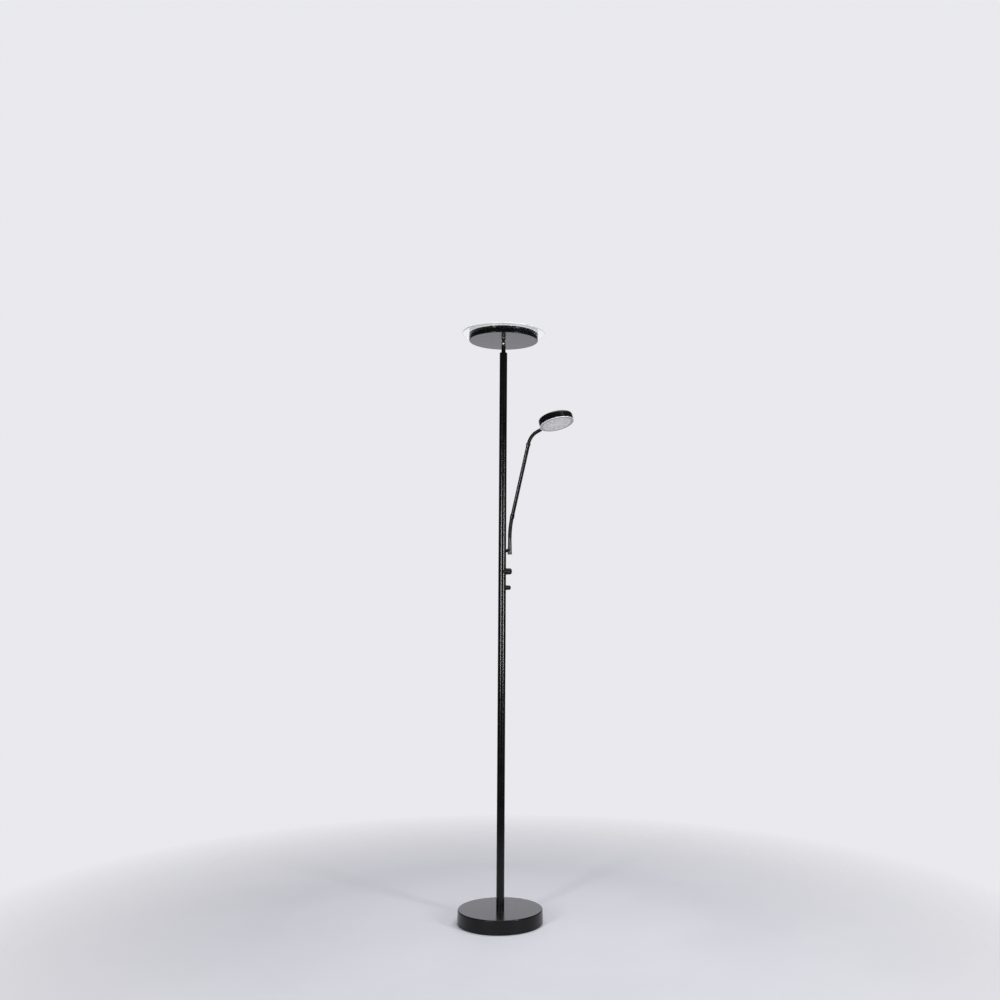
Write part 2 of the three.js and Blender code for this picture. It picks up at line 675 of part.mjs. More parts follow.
// A neck bends evenly along an arc. Its hinges sit at the middle of equal stretches.
class NeckArc extends THREE.Curve {
  constructor(start, heading, length, bend) {
    super();
    Object.assign(this, { start, heading, length, bend });
  }

  // Point and heading at a distance along the neck; past its ends it runs on straight.
  at(distance) {
    const within = THREE.MathUtils.clamp(distance, 0, this.length);
    const turn = (this.bend * within) / this.length;
    const radius = this.length / this.bend;
    const over = distance - within;
    const [x0, z0] = this.start;
    const heading = this.heading - turn;
    const x = x0 + radius * (Math.sin(this.heading) - Math.sin(heading)) + over * Math.cos(heading);
    const z = z0 + radius * (Math.cos(heading) - Math.cos(this.heading)) + over * Math.sin(heading);
    return { x, z, heading };
  }
}

// The stretch of a neck between two distances, as a curve.
class NeckStretch extends THREE.Curve {
  constructor(arc, from, to) {
    super();
    Object.assign(this, { arc, from, to });
  }

  getPoint(t, target = new THREE.Vector3()) {
    const { x, z } = this.arc.at(this.from + (this.to - this.from) * t);
    return target.set(x, 0, z);
  }
}

// Rigid lengths of a neck, each ending short of its hinges so that it can turn without touching.
function neckPieces(arc, { radius, hinges: count, turn }, from, to) {
  const half = radius * Math.tan(degrees(turn) / 2) + GAP;
  const hinges = Array.from({ length: count }, (_, i) => (arc.length * (i + 0.5)) / count);
  const starts = [from, ...hinges.map((s) => s + half)];
  const ends = [...hinges.map((s) => s - half), to];
  return starts.map((start, i) => {
    const stretch = new NeckStretch(arc, start, ends[i]);
    const steps = Math.max(2, Math.round((ends[i] - start) / NECK_STEP));
    return piped(stretch, radius, NECK_BORE_R, steps);
  });
}

// Places a piece built about +Z so that it runs from a point of the arm along its heading.
function alongArm(geometry, { x, z, heading }) {
  return geometry.rotateY(Math.PI / 2 - heading).translate(x, 0, z);
}

function addArm(lamp) {
  const arm = new THREE.Group();
  const side = degrees(SIDE_AZIMUTH);
  arm.position.set(SOCKET_REACH * Math.cos(side), SOCKET_REACH * Math.sin(side), 0);
  arm.rotation.z = degrees(ARM_AZIMUTH);
  lamp.add(arm);

  const collarBottom = SOCKET_TOP + TURN_GAP;
  const collarTop = collarBottom + SPIGOT_COLLAR;
  const webTop = SOCKET_BOTTOM + SCREW_HEAD_HEIGHT + 1 + WEB_THICKNESS;
  const spigotBore = SCREW_R + GAP;
  const spigotFrom = webTop + TURN_GAP;
  piece(arm, "arm_spigot", turned([
    [spigotBore, spigotFrom],
    [SPIGOT_R, spigotFrom],
    [SPIGOT_R, collarBottom],
    [SOCKET_TOP_R, collarBottom],
    [SOCKET_TOP_R, collarTop],
    [spigotBore, collarTop],
    [spigotBore, spigotFrom],
  ], COARSE), black);
  const screwTop = webTop - WEB_THICKNESS - TURN_GAP;
  piece(arm, "arm_socket_screw", turned([
    [0, screwTop - SCREW_HEAD_HEIGHT],
    [SPIGOT_R - TURN_GAP, screwTop - SCREW_HEAD_HEIGHT],
    [SPIGOT_R - TURN_GAP, screwTop],
    [SCREW_R, screwTop],
    [SCREW_R, webTop + 10],
    [0, webTop + 10],
  ], COARSE), steel);

  const lower = new NeckArc([0, collarTop], Math.PI / 2, LOWER_NECK_LENGTH, degrees(LOWER_NECK_BEND));
  const lowerKind = { radius: LOWER_NECK_R, hinges: LOWER_NECK_HINGES, turn: LOWER_HINGE_TURN };
  const lowerPieces = neckPieces(lower, lowerKind, GAP, LOWER_NECK_LENGTH - GAP);
  ["lower_neck_base", "lower_neck_link", "lower_neck_end"].forEach((name, i) => {
    piece(arm, name, lowerPieces[i], black);
  });

  const tubeFoot = lower.at(LOWER_NECK_LENGTH);
  const tubeHead = lower.at(LOWER_NECK_LENGTH + ARM_TUBE_LENGTH);
  const tube = sleeve(ARM_TUBE_R, ARM_TUBE_R - ARM_TUBE_WALL, 0, ARM_TUBE_LENGTH);
  const ferruleBore = ARM_TUBE_R + GAP;
  const ferruleR = ferruleBore + FERRULE_WALL;
  const lowerFerrule = sleeve(ferruleR, ferruleBore, -LOWER_FERRULE[0], LOWER_FERRULE[1]);
  const upperFerrule = sleeve(ferruleR, ferruleBore, -UPPER_FERRULE[0], UPPER_FERRULE[1]);
  piece(arm, "lower_neck_ferrule", alongArm(lowerFerrule, tubeFoot), black);
  piece(arm, "arm_tube", alongArm(tube, tubeFoot), black);
  piece(arm, "upper_neck_ferrule", alongArm(upperFerrule, tubeHead), black);

  const upperStart = [tubeHead.x, tubeHead.z];
  const upper = new NeckArc(upperStart, tubeHead.heading, UPPER_NECK_ARC, degrees(UPPER_NECK_BEND));
  const wall = UPPER_NECK_ARC + UPPER_NECK_STRAIGHT + ENTRY_FERRULE;
  const tail = wall + READING_WALL + ENTRY_TAIL;
  const upperKind = { radius: UPPER_NECK_R, hinges: UPPER_NECK_HINGES, turn: UPPER_HINGE_TURN };
  const upperPieces = neckPieces(upper, upperKind, GAP, tail);
  ["upper_neck_base", "upper_neck_link_1", "upper_neck_link_2", "upper_neck_end"].forEach((name, i) => {
    piece(arm, name, upperPieces[i], black);
  });
  addReadingLight(arm, upper, wall);
}

// ---- Reading light ----

function readingHousing() {
  const top = READING_HEIGHT - READING_ENTRY;
  const bottom = LENS_EDGE - READING_ENTRY;
  const outerCorner = [READING_R - READING_EDGE_R, top - READING_EDGE_R];
  const outline = [
    [0, top - READING_WALL],
    ...edge(...outerCorner, READING_EDGE_R - READING_WALL, 90, 0),
    [READING_R - READING_WALL, bottom],
    [READING_R, bottom],
    ...edge(...outerCorner, READING_EDGE_R, 0, 90, 4),
    [0, top],
  ];
  const entry = alongX(rod(UPPER_NECK_R + GAP, -2 * READING_R, 0, COARSE));
  return carved([turned(outline, FINE)], [entry]);
}

function readingLens() {
  const face = -READING_ENTRY;
  const stepR = READING_R - LENS_BORDER;
  const rim = face + LENS_EDGE;
  const skirtR = READING_R - READING_WALL - GAP;
  return turned([
    [0, face + LENS_STEP],
    [stepR, face + LENS_STEP],
    [stepR + LENS_STEP, face],
    [READING_R - LENS_STEP, face],
    [READING_R, face + LENS_STEP],
    [READING_R, rim],
    [skirtR, rim],
    [skirtR, rim + LENS_SKIRT],
    [skirtR - READING_WALL, rim + LENS_SKIRT],
    [skirtR - READING_WALL, rim],
    [0, rim],
  ], FINE);
}

function readingBoard() {
  const radius = READING_R - READING_BOARD_INSET;
  const ceiling = READING_HEIGHT - READING_ENTRY - READING_WALL;
  const bottom = ceiling - GAP - 2 * UP_BOARD_THICKNESS;
  return carved([
    rod(radius, bottom, ceiling - GAP),
    ...leds(READING_LED_COUNT, radius - READING_LED_INSET, bottom, -1),
  ]);
}

function addReadingLight(arm, neck, wall) {
  const light = new THREE.Group();
  const axis = neck.at(wall + READING_R);
  light.position.set(axis.x, 0, axis.z);
  light.rotation.y = -axis.heading;
  arm.add(light);
  const outside = -READING_R - GAP;
  const inside = -READING_R + READING_WALL + 1;
  const bore = UPPER_NECK_R + GAP;
  const ferrule = alongX(sleeve(bore + FERRULE_WALL, bore, outside - ENTRY_FERRULE, outside - GAP));
  const nut = alongX(hexNut(READING_NUT_R, bore, inside, READING_NUT_HEIGHT));
  piece(light, "reading_ferrule", ferrule, black);
  piece(light, "reading_housing", readingHousing(), black);
  piece(light, "reading_neck_nut", nut, steel);
  piece(light, "reading_led_board", readingBoard(), board);
  piece(light, "reading_lens", readingLens(), frosted);
}

// ---- The whole lamp ----

const lamp = new THREE.Group();
addBase(lamp);
addPole(lamp);
addLeads(lamp);
addControl(lamp, MAIN_KNOB);
addControl(lamp, READING_KNOB);
addArmSocket(lamp);
addArm(lamp);
addUplighter(lamp);

export default lamp;
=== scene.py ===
"""Looks of the torchiere floor lamp: fine meshes, materials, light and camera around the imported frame.

Metres, +Z up, the lamp's front towards -Y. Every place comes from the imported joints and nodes.
"""

import json
import math

import bmesh
import bpy
from mathutils import Matrix, Vector

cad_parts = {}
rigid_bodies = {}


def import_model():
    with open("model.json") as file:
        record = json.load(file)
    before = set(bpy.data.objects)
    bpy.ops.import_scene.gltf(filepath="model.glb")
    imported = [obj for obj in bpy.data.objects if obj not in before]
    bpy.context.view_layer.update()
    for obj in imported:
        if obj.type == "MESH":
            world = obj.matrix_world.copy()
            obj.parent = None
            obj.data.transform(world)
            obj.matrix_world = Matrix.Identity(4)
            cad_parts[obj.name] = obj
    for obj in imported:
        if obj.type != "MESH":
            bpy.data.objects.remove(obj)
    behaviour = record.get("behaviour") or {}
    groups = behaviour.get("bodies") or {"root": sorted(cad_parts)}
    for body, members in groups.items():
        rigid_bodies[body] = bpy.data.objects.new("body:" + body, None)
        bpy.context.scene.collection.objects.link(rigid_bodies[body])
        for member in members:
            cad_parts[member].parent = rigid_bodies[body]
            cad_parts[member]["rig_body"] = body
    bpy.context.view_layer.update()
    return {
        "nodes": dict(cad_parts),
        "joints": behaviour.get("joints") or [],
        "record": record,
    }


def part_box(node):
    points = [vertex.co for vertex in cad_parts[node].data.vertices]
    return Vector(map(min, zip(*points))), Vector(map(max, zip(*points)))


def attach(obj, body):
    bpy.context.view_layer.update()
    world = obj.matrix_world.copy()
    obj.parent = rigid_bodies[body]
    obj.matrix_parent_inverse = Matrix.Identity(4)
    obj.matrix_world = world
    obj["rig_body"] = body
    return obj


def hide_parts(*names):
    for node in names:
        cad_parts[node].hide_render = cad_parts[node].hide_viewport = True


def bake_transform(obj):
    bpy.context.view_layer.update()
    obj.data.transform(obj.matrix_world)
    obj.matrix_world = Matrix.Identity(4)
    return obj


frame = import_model()
joints = {joint["name"]: joint for joint in frame["joints"]}
slot_of = {part["node"]: part["material_slot"] for part in frame["record"]["subparts"]}
body_of = {node: mesh["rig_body"] for node, mesh in frame["nodes"].items()}

MM = 0.001
UP = Vector((0, 0, 1))
UPRIGHT = Matrix.Identity(4)

# Roundness, in sides of a full circle
BROAD = 224
SLIM = 96
SMALL = 48
ARC_STEPS = 5
SHARP_ANGLE = math.radians(35)
HOLD = 0.25 * MM  # flat kept beside each rounded corner, so that broad faces shade flat
GAP = 0.3 * MM
FINE_EDGE = 0.3 * MM

# Walls, bores and edges that the nodes' outer sizes don't give
COVER_WALL = 1.5 * MM
COVER_TAPER = 1 * MM
COVER_EDGE = 3 * MM
COVER_FOOT = 5 * MM
PIPE_HOLE = 5.3 * MM
INLET_LIP = 2 * MM
INLET_WALL = 1.2 * MM
TUBE_WALL = 1.2 * MM
TUBE_EDGE = 0.05 * MM
STUD_HOLE = 4.3 * MM
CAP_THICKNESS = 3 * MM
CAP_EDGE = 1.8 * MM
FORK_BORE = 2.5 * MM
FORK_STUD = 4 * MM
FORK_EDGE = 3.4 * MM
SLOT_WIDTH = 5.4 * MM
SLOT_DEPTH = 8.5 * MM
SCREW_DOME = 1.5 * MM
PIN_HOLE = 2.3 * MM
PIN_SEAT = 3.6 * MM
PIN_SEAT_DEPTH = 1.6 * MM
TONGUE_WIDTH = 8 * MM
TONGUE_STUD = 3.5 * MM
TONGUE_COLLAR = 5 * MM
TONGUE_COLLAR_HEIGHT = 1 * MM
DISH_WALL = 1.5 * MM
DISH_EDGE = 2 * MM
DIFFUSER_WALL = 2 * MM
GLASS_ARRIS = 0.6 * MM
SADDLE_BORE = 3.8 * MM
KNOB_POCKET = 5 * MM
KNOB_POCKET_DEPTH = 3 * MM
KNOB_EDGE_SHARE = 0.42  # of the knob's radius
KNOB_SKIRT_SHARE = 0.16  # of the knob's length
KNOB_LEDGE = 0.35 * MM
POINTER_FROM_SHARE, POINTER_TO_SHARE = 0.28, 0.62  # of the knob's radius
POINTER_HALF_WIDTH = 0.35 * MM
POINTER_DEPTH = 0.35 * MM
SOCKET_BOTTOM_R = 6.7 * MM
SOCKET_TOP_R = 5.5 * MM
SOCKET_BORE = 4.2 * MM
SOCKET_FLOOR = 7.5 * MM
SCREW_WELL_DEPTH = 3.5 * MM
STUB_RISE = 12 * MM
STUB_R = 6 * MM
STUB_WAIST = 5.2 * MM
SPIGOT_BORE = 2 * MM
SPIGOT_R = 4 * MM
COLLAR_CLEAR = 0.05 * MM
ARM_WALL = 1 * MM
NECK_PITCH = 2.1 * MM
NECK_GROOVE = 0.42 * MM
RINGS_PER_TURN = 9
READING_WALL = 1.5 * MM
READING_EDGE = 6 * MM
LENS_BORDER = 9.3 * MM
LENS_STEP = 0.5 * MM
CUT_REACH = 8 * MM  # how far a short cutter runs past what it cuts
ENTRY_REACH = 60 * MM  # longer than the reading light is wide where its neck enters

# Studio, in metres and watts
FLOOR_R = 9.0
FLOOR_FADE = (0.7, 1.7)
BACKDROP = (0.820, 0.820, 0.852, 1)
ROOM_FRONT = (0.05, 0.05, 0.053, 1)
ROOM_MIDDLE = (0.08, 0.08, 0.085, 1)
ROOM_BACK = (1.20, 1.20, 1.285, 1)
ROOM_MIDDLE_AT = 0.88  # from 0 in front to 1 behind
SOFTBOX_SIZE = (0.32, 1.0)
SOFTBOX_DISTANCE = 2.6
SOFTBOX_HEIGHT = 1.1
SOFTBOX_POWER = 12
SOFTBOX_SPREAD = math.radians(90)
OVERHEAD_AT = (0.4, -0.3, 3.2)
OVERHEAD_SIZE = 2.6
OVERHEAD_POWER = 82

# Camera, turned a little to the lamp's right and brought back by its lens shift
CAMERA_AT = (-0.0082, -3.222, 0.9166)
CAMERA_TURN = math.radians(-2.54)
CAMERA_PITCH = math.radians(96.26)
CAMERA_ROLL = math.radians(0.08)
CAMERA_LENS = 37.4
CAMERA_SHIFT = -0.0458


# ---- Frames to build in ----


def place(origin, axis, side=(1, 0, 0)):
    """A frame at a point, with its Z along an axis and its X leaning towards a side."""
    z = Vector(axis).normalized()
    x = Vector(side)
    x = (x - x.project(z)).normalized()
    at = Matrix((x, z.cross(x), z)).transposed().to_4x4()
    at.translation = Vector(origin)
    return at


def measure(node, at):
    """Lowest and highest point of a CAD node along a frame's axis, and its furthest reach from that axis."""
    inverse = at.inverted()
    points = [inverse @ vertex.co for vertex in frame["nodes"][node].data.vertices]
    heights = [p.z for p in points]
    return min(heights), max(heights), max(math.hypot(p.x, p.y) for p in points)


def centred(node, axis, side):
    """The frame along an axis through the middle of a CAD node."""
    at = place((0, 0, 0), axis, side)
    inverse = at.inverted()
    points = [inverse @ vertex.co for vertex in frame["nodes"][node].data.vertices]
    middle = Vector((0, 0, 0))
    for i in range(2):
        values = [p[i] for p in points]
        middle[i] = (min(values) + max(values)) / 2
    at.translation = at @ middle
    return at


# ---- Meshes ----


def finished(name, bm):
    """A smooth-shaded object from a bmesh, with its sharp edges marked."""
    bmesh.ops.remove_doubles(bm, verts=bm.verts, dist=1e-7)
    bmesh.ops.recalc_face_normals(bm, faces=bm.faces)
    for face in bm.faces:
        face.smooth = True
    for line in bm.edges:
        line.smooth = len(line.link_faces) == 2 and line.calc_face_angle() < SHARP_ANGLE
    mesh = bpy.data.meshes.new(name)
    bm.to_mesh(mesh)
    bm.free()
    made = bpy.data.objects.new(name, mesh)
    bpy.context.scene.collection.objects.link(made)
    return made


def rounded(corners, steps=ARC_STEPS):
    """Closed outline of (r, z) points from (r, z, radius) corners, each one turned in an arc."""
    points = []
    for i, (r, z, radius) in enumerate(corners):
        corner = Vector((r, z))
        if radius <= 0:
            points.append(corner)
            continue
        before = Vector(corners[i - 1][:2]) - corner
        after = Vector(corners[(i + 1) % len(corners)][:2]) - corner
        half = before.angle(after) / 2
        back = min(radius / math.tan(half), before.length * 0.48, after.length * 0.48)
        fillet = back * math.tan(half)
        one, two = before.normalized(), after.normalized()
        centre = corner + (one + two).normalized() * (fillet / math.sin(half))
        if before.length > back + 2 * HOLD:
            points.append(corner + one * (back + HOLD))
        from_centre = corner + one * back - centre
        to_centre = corner + two * back - centre
        sweep = from_centre.angle_signed(to_centre)
        for step in range(steps + 1):
            turned = from_centre.copy()
            turned.rotate(Matrix.Rotation(-sweep * step / steps, 2))
            points.append(centre + turned)
        if after.length > back + 2 * HOLD:
            points.append(corner + two * (back + HOLD))
    return points


def lathe(name, corners, at=UPRIGHT, sides=SLIM, steps=ARC_STEPS):
    """Solid of revolution about a frame's axis, from the corners of its outline."""
    bm = bmesh.new()
    rings = []
    for point in rounded(corners, steps):
        if point.x < 1e-7:
            rings.append([bm.verts.new((0, 0, point.y))])
            continue
        angles = [2 * math.pi * i / sides for i in range(sides)]
        ring = [(point.x * math.cos(a), point.x * math.sin(a), point.y) for a in angles]
        rings.append([bm.verts.new(spot) for spot in ring])
    for lower, upper in zip(rings, rings[1:] + rings[:1]):
        if len(lower) == 1 and len(upper) == 1:
            continue
        for i in range(sides):
            j = (i + 1) % sides
            loop = [ring[k % len(ring)] for ring, k in ((lower, i), (lower, j), (upper, j), (upper, i))]
            bm.faces.new(list(dict.fromkeys(loop)))
    bm.transform(at)
    return finished(name, bm)


def sleeve(name, outer, inner, low, high, at=UPRIGHT, sides=SLIM, edge=FINE_EDGE):
    """Straight tube with eased ends."""
    inside = edge / 3
    corners = [(inner, low, inside), (outer, low, edge), (outer, high, edge), (inner, high, inside)]
    return lathe(name, corners, at, sides)


def rod(name, radius, low, high, at=UPRIGHT, sides=SLIM, edge=0.0):
    return lathe(name, [(0, low, 0), (radius, low, edge), (radius, high, edge), (0, high, 0)], at, sides)


def prism(name, outline, low, high, at=UPRIGHT, edge=0.0):
    """Flat solid from an outline in a frame's XY plane, with its long edges eased."""
    bm = bmesh.new()
    bottom = [bm.verts.new((x, y, low)) for x, y in outline]
    top = [bm.verts.new((x, y, high)) for x, y in outline]
    bm.faces.new(bottom[::-1])
    bm.faces.new(top)
    for i in range(len(outline)):
        j = (i + 1) % len(outline)
        bm.faces.new((bottom[i], bottom[j], top[j], top[i]))
    if edge:
        rims = [line for line in bm.edges if abs(line.verts[0].co.z - line.verts[1].co.z) < 1e-9]
        bmesh.ops.bevel(bm, geom=rims, offset=edge, segments=3, profile=0.5, affect="EDGES")
    bm.transform(at)
    return finished(name, bm)


def circle(radius, count, x=0.0, y=0.0, start=0.0, sweep=2 * math.pi):
    angles = [start + sweep * i / count for i in range(count)]
    return [(x + radius * math.cos(a), y + radius * math.sin(a)) for a in angles]


def box_outline(width, depth):
    x, y = width / 2, depth / 2
    return [(-x, -y), (x, -y), (x, y), (-x, y)]


def combined(piece, others, operation="DIFFERENCE"):
    """A mesh with others cut away from it, joined to it or kept only where they meet."""
    for other in others:
        modifier = piece.modifiers.new("combine", "BOOLEAN")
        modifier.operation = operation
        modifier.solver = "EXACT"
        modifier.object = other
    bpy.context.view_layer.update()
    graph = bpy.context.evaluated_depsgraph_get()
    bm = bmesh.new()
    bm.from_object(piece, graph)
    name = piece.name
    for used in [piece, *others]:
        bpy.data.objects.remove(used)
    return finished(name, bm)


def hex_nut(name, corner_r, bore, low, high, at):
    """Six-sided nut with turned chamfers."""
    flat = corner_r * math.cos(math.pi / 6)
    ease = (corner_r - flat) * 0.6
    body = prism(name, circle(corner_r, 6), low, high, at)
    turned = [(0, low, 0), (flat, low, 0), (corner_r, low + ease, 0), (corner_r, high - ease, 0)]
    turned += [(flat, high, 0), (0, high, 0)]
    chamfer = lathe("chamfer", turned, at, SMALL)
    body = combined(body, [chamfer], "INTERSECT")
    return combined(body, [rod("bore", bore, low - MM, high + MM, at, SMALL)])


def stand_in(piece, *nodes, body=None):
    """The fine piece takes the place and the material slot of its CAD nodes, and their body when one is
    given.
    """
    slot = slot_of[nodes[0]]
    piece.data.materials.clear()
    piece.data.materials.append(finishes[slot])
    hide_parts(*nodes)
    if body is not None:
        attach(piece, body)
    return piece


def rides(piece, *nodes):
    return stand_in(piece, *nodes, body=body_of[nodes[0]])


# ---- Materials ----


class Finish:
    """A node material round one Principled shader."""

    def __init__(self, name, colour, roughness, **sockets):
        self.material = bpy.data.materials.new(name)
        self.material.use_nodes = True
        self.material.diffuse_color = (*colour, 1)
        self.nodes = self.material.node_tree.nodes
        self.links = self.material.node_tree.links
        self.shader = self.nodes["Principled BSDF"]
        self.shader.inputs["Base Color"].default_value = (*colour, 1)
        self.shader.inputs["Roughness"].default_value = roughness
        for socket, value in sockets.items():
            self.shader.inputs[socket.replace("_", " ")].default_value = value
        self.where = self.nodes.new("ShaderNodeTexCoord").outputs["Object"]

    def add(self, kind, links=None, **values):
        """A node with its input values and incoming links set by name."""
        node = self.nodes.new(kind)
        for name, value in values.items():
            node.inputs[name.replace("_", " ")].default_value = value
        for name, source in (links or {}).items():
            self.links.new(source, node.inputs[name])
        return node

    def stretched(self, scale):
        """Object coordinates scaled along each axis."""
        return self.add("ShaderNodeMapping", {"Vector": self.where}, Scale=scale).outputs["Vector"]

    def noise(self, scale, detail=3.0, roughness=0.5, where=None):
        links = {"Vector": where or self.where}
        node = self.add("ShaderNodeTexNoise", links, Scale=scale, Detail=detail, Roughness=roughness)
        return node.outputs["Fac"]

    def cells(self, scale, feature="F1"):
        node = self.add("ShaderNodeTexVoronoi", {"Vector": self.where}, Scale=scale)
        node.feature = feature
        return node.outputs["Distance"]

    def ranged(self, source, low, high, from_low=0.3, from_high=0.7):
        """A value squeezed from one range into another."""
        node = self.add("ShaderNodeMapRange", {"Value": source})
        limits = {"From Min": from_low, "From Max": from_high, "To Min": low, "To Max": high}
        for name, value in limits.items():
            node.inputs[name].default_value = value
        return node.outputs["Result"]

    def math(self, operation, one, two):
        node = self.nodes.new("ShaderNodeMath")
        node.operation = operation
        for socket, value in zip(node.inputs, (one, two)):
            if isinstance(value, float):
                socket.default_value = value
            else:
                self.links.new(value, socket)
        return node.outputs["Value"]

    def reach(self, where):
        """Distance from the Z axis of a set of coordinates."""
        flat = self.add("ShaderNodeVectorMath", {0: where})
        flat.operation = "MULTIPLY"
        flat.inputs[1].default_value = (1, 1, 0)
        length = self.add("ShaderNodeVectorMath", {0: flat.outputs["Vector"]})
        length.operation = "LENGTH"
        return length.outputs["Value"]

    def mixed(self, factor, one, two):
        """A colour between two, each a colour or another node's output."""
        node = self.nodes.new("ShaderNodeMix")
        node.data_type = "RGBA"
        self.links.new(factor, node.inputs["Factor"])
        for socket, value in ((node.inputs[6], one), (node.inputs[7], two)):
            if isinstance(value, tuple):
                socket.default_value = (*value, 1)
            else:
                self.links.new(value, socket)
        return node.outputs[2]

    def edge_highlight_and_wear(self, radius):
        """Mask for the painted edge highlight and rubbed wear: 1 along convex and concave edges and 0 on
        open faces, broken up by noise.
        """
        bevel = self.nodes.new("ShaderNodeBevel")
        bevel.samples = 4
        bevel.inputs["Radius"].default_value = radius
        plain = self.nodes.new("ShaderNodeNewGeometry").outputs["Normal"]
        dot = self.nodes.new("ShaderNodeVectorMath")
        dot.operation = "DOT_PRODUCT"
        self.links.new(bevel.outputs["Normal"], dot.inputs[0])
        self.links.new(plain, dot.inputs[1])
        edge = self.ranged(dot.outputs["Value"], 1.0, 0.0, 0.72, 0.97)
        return self.math("MULTIPLY", edge, self.ranged(self.noise(900, 4.0), 0.0, 1.0))

    def colour(self, source):
        self.links.new(source, self.shader.inputs["Base Color"])

    def roughness(self, source):
        self.links.new(source, self.shader.inputs["Roughness"])

    def bumps(self, *layers):
        """Fine relief: each layer is a height source with its depth in metres."""
        normal = None
        for height, depth in layers:
            links = {"Height": height}
            if normal is not None:
                links["Normal"] = normal
            normal = self.add("ShaderNodeBump", links, Strength=1.0, Distance=depth).outputs["Normal"]
        self.links.new(normal, self.shader.inputs["Normal"])


def powder_coat():
    """Semi-gloss black powder coat: fine orange peel, faint clouding, and edges painted lighter as a painted
    highlight and slight rubbing.
    """
    made = Finish("black_powder_coat", (0.0028, 0.0028, 0.0032), 0.2, IOR=1.34)
    cloud = made.noise(38, 4.0)
    tone = made.mixed(made.ranged(cloud, 0.0, 1.0), (0.0022, 0.0022, 0.0026), (0.0036, 0.0036, 0.0040))
    # Edges painted lighter: a painted edge highlight, with some rubbed wear.
    made.colour(made.mixed(made.edge_highlight_and_wear(0.35 * MM), tone, (0.011, 0.011, 0.012)))
    grain = made.ranged(made.noise(700, 2.0), -0.01, 0.01)
    made.roughness(made.math("ADD", made.ranged(cloud, 0.18, 0.22), grain))
    made.bumps((made.noise(1500, 1.0), 0.002 * MM), (made.noise(480, 2.0), 0.003 * MM))
    return made.material


def neck_coat():
    """Satin black on a wound hose, with faint mottled dust."""
    made = Finish("black_neck", (0.005, 0.005, 0.0055), 0.36, IOR=1.34)
    dust = made.ranged(made.noise(260, 4.0), 0.0, 1.0)
    made.colour(made.mixed(dust, (0.003, 0.003, 0.0034), (0.007, 0.007, 0.0075)))
    made.roughness(made.ranged(made.noise(90, 3.0), 0.32, 0.42))
    made.bumps((made.noise(2400, 2.0), 0.01 * MM))
    return made.material


def black_plastic():
    """Moulded satin ABS with a fine spark-eroded texture."""
    made = Finish("black_plastic", (0.006, 0.006, 0.0065), 0.4, IOR=1.34)
    grain = made.noise(3200, 2.0, 0.6)
    cloud = made.ranged(made.noise(150, 3.0), 0.0, 1.0)
    made.colour(made.mixed(cloud, (0.0035, 0.0035, 0.004), (0.0065, 0.0065, 0.007)))
    made.roughness(made.ranged(grain, 0.35, 0.45))
    made.bumps((grain, 0.012 * MM), (made.cells(1700), 0.008 * MM))
    return made.material


def rubber():
    made = Finish("rubber", (0.012, 0.012, 0.012), 0.75)
    bloom = made.ranged(made.noise(220, 5.0), 0.0, 1.0)
    made.colour(made.mixed(bloom, (0.010, 0.010, 0.010), (0.022, 0.022, 0.022)))
    made.roughness(made.ranged(made.noise(600, 3.0), 0.66, 0.84))
    made.bumps((made.noise(1800, 3.0), 0.02 * MM))
    return made.material


def felt():
    """Pressed non-slip felt: short crossing fibres."""
    made = Finish("felt", (0.018, 0.018, 0.019), 0.95, Sheen_Weight=0.4)
    fibres = made.noise(900, 6.0, 0.75, made.stretched((1, 3.5, 1)))
    across = made.noise(900, 6.0, 0.75, made.stretched((3.5, 1, 1)))
    nap = made.math("MULTIPLY", fibres, across)
    pile = made.ranged(nap, 0.0, 1.0, 0.1, 0.45)
    made.colour(made.mixed(pile, (0.010, 0.010, 0.011), (0.045, 0.045, 0.047)))
    made.roughness(made.ranged(nap, 0.85, 1.0, 0.1, 0.45))
    made.bumps((nap, 0.25 * MM))
    return made.material


def zinc_steel():
    """Zinc plate: faint spangle and turning marks."""
    made = Finish("zinc_steel", (0.55, 0.56, 0.58), 0.36, Metallic=1.0)
    spangle = made.cells(260)
    made.colour(made.mixed(made.ranged(spangle, 0.0, 1.0, 0.1, 0.6), (0.50, 0.51, 0.54), (0.62, 0.62, 0.62)))
    marks = made.noise(500, 3.0, 0.6, made.stretched((1, 1, 8)))
    made.roughness(made.ranged(marks, 0.28, 0.46))
    made.bumps((marks, 0.01 * MM))
    return made.material


def chrome():
    """Satin plate with a few hairline marks."""
    made = Finish("chrome", (0.90, 0.90, 0.92), 0.66, Metallic=1.0)
    smear = made.noise(400, 4.0)
    made.colour(made.mixed(made.ranged(smear, 0.0, 1.0), (0.88, 0.88, 0.90), (0.94, 0.94, 0.96)))
    made.roughness(made.ranged(smear, 0.60, 0.72))
    made.bumps((made.noise(2600, 2.0), 0.002 * MM))
    return made.material


def brass():
    made = Finish("brass", (0.70, 0.52, 0.22), 0.3, Metallic=1.0)
    tarnish = made.ranged(made.noise(300, 5.0), 0.0, 1.0)
    made.colour(made.mixed(tarnish, (0.72, 0.55, 0.24), (0.52, 0.36, 0.15)))
    made.roughness(made.ranged(made.noise(800, 3.0), 0.24, 0.42))
    made.bumps((made.noise(900, 3.0, 0.5, made.stretched((8, 1, 1))), 0.01 * MM))
    return made.material


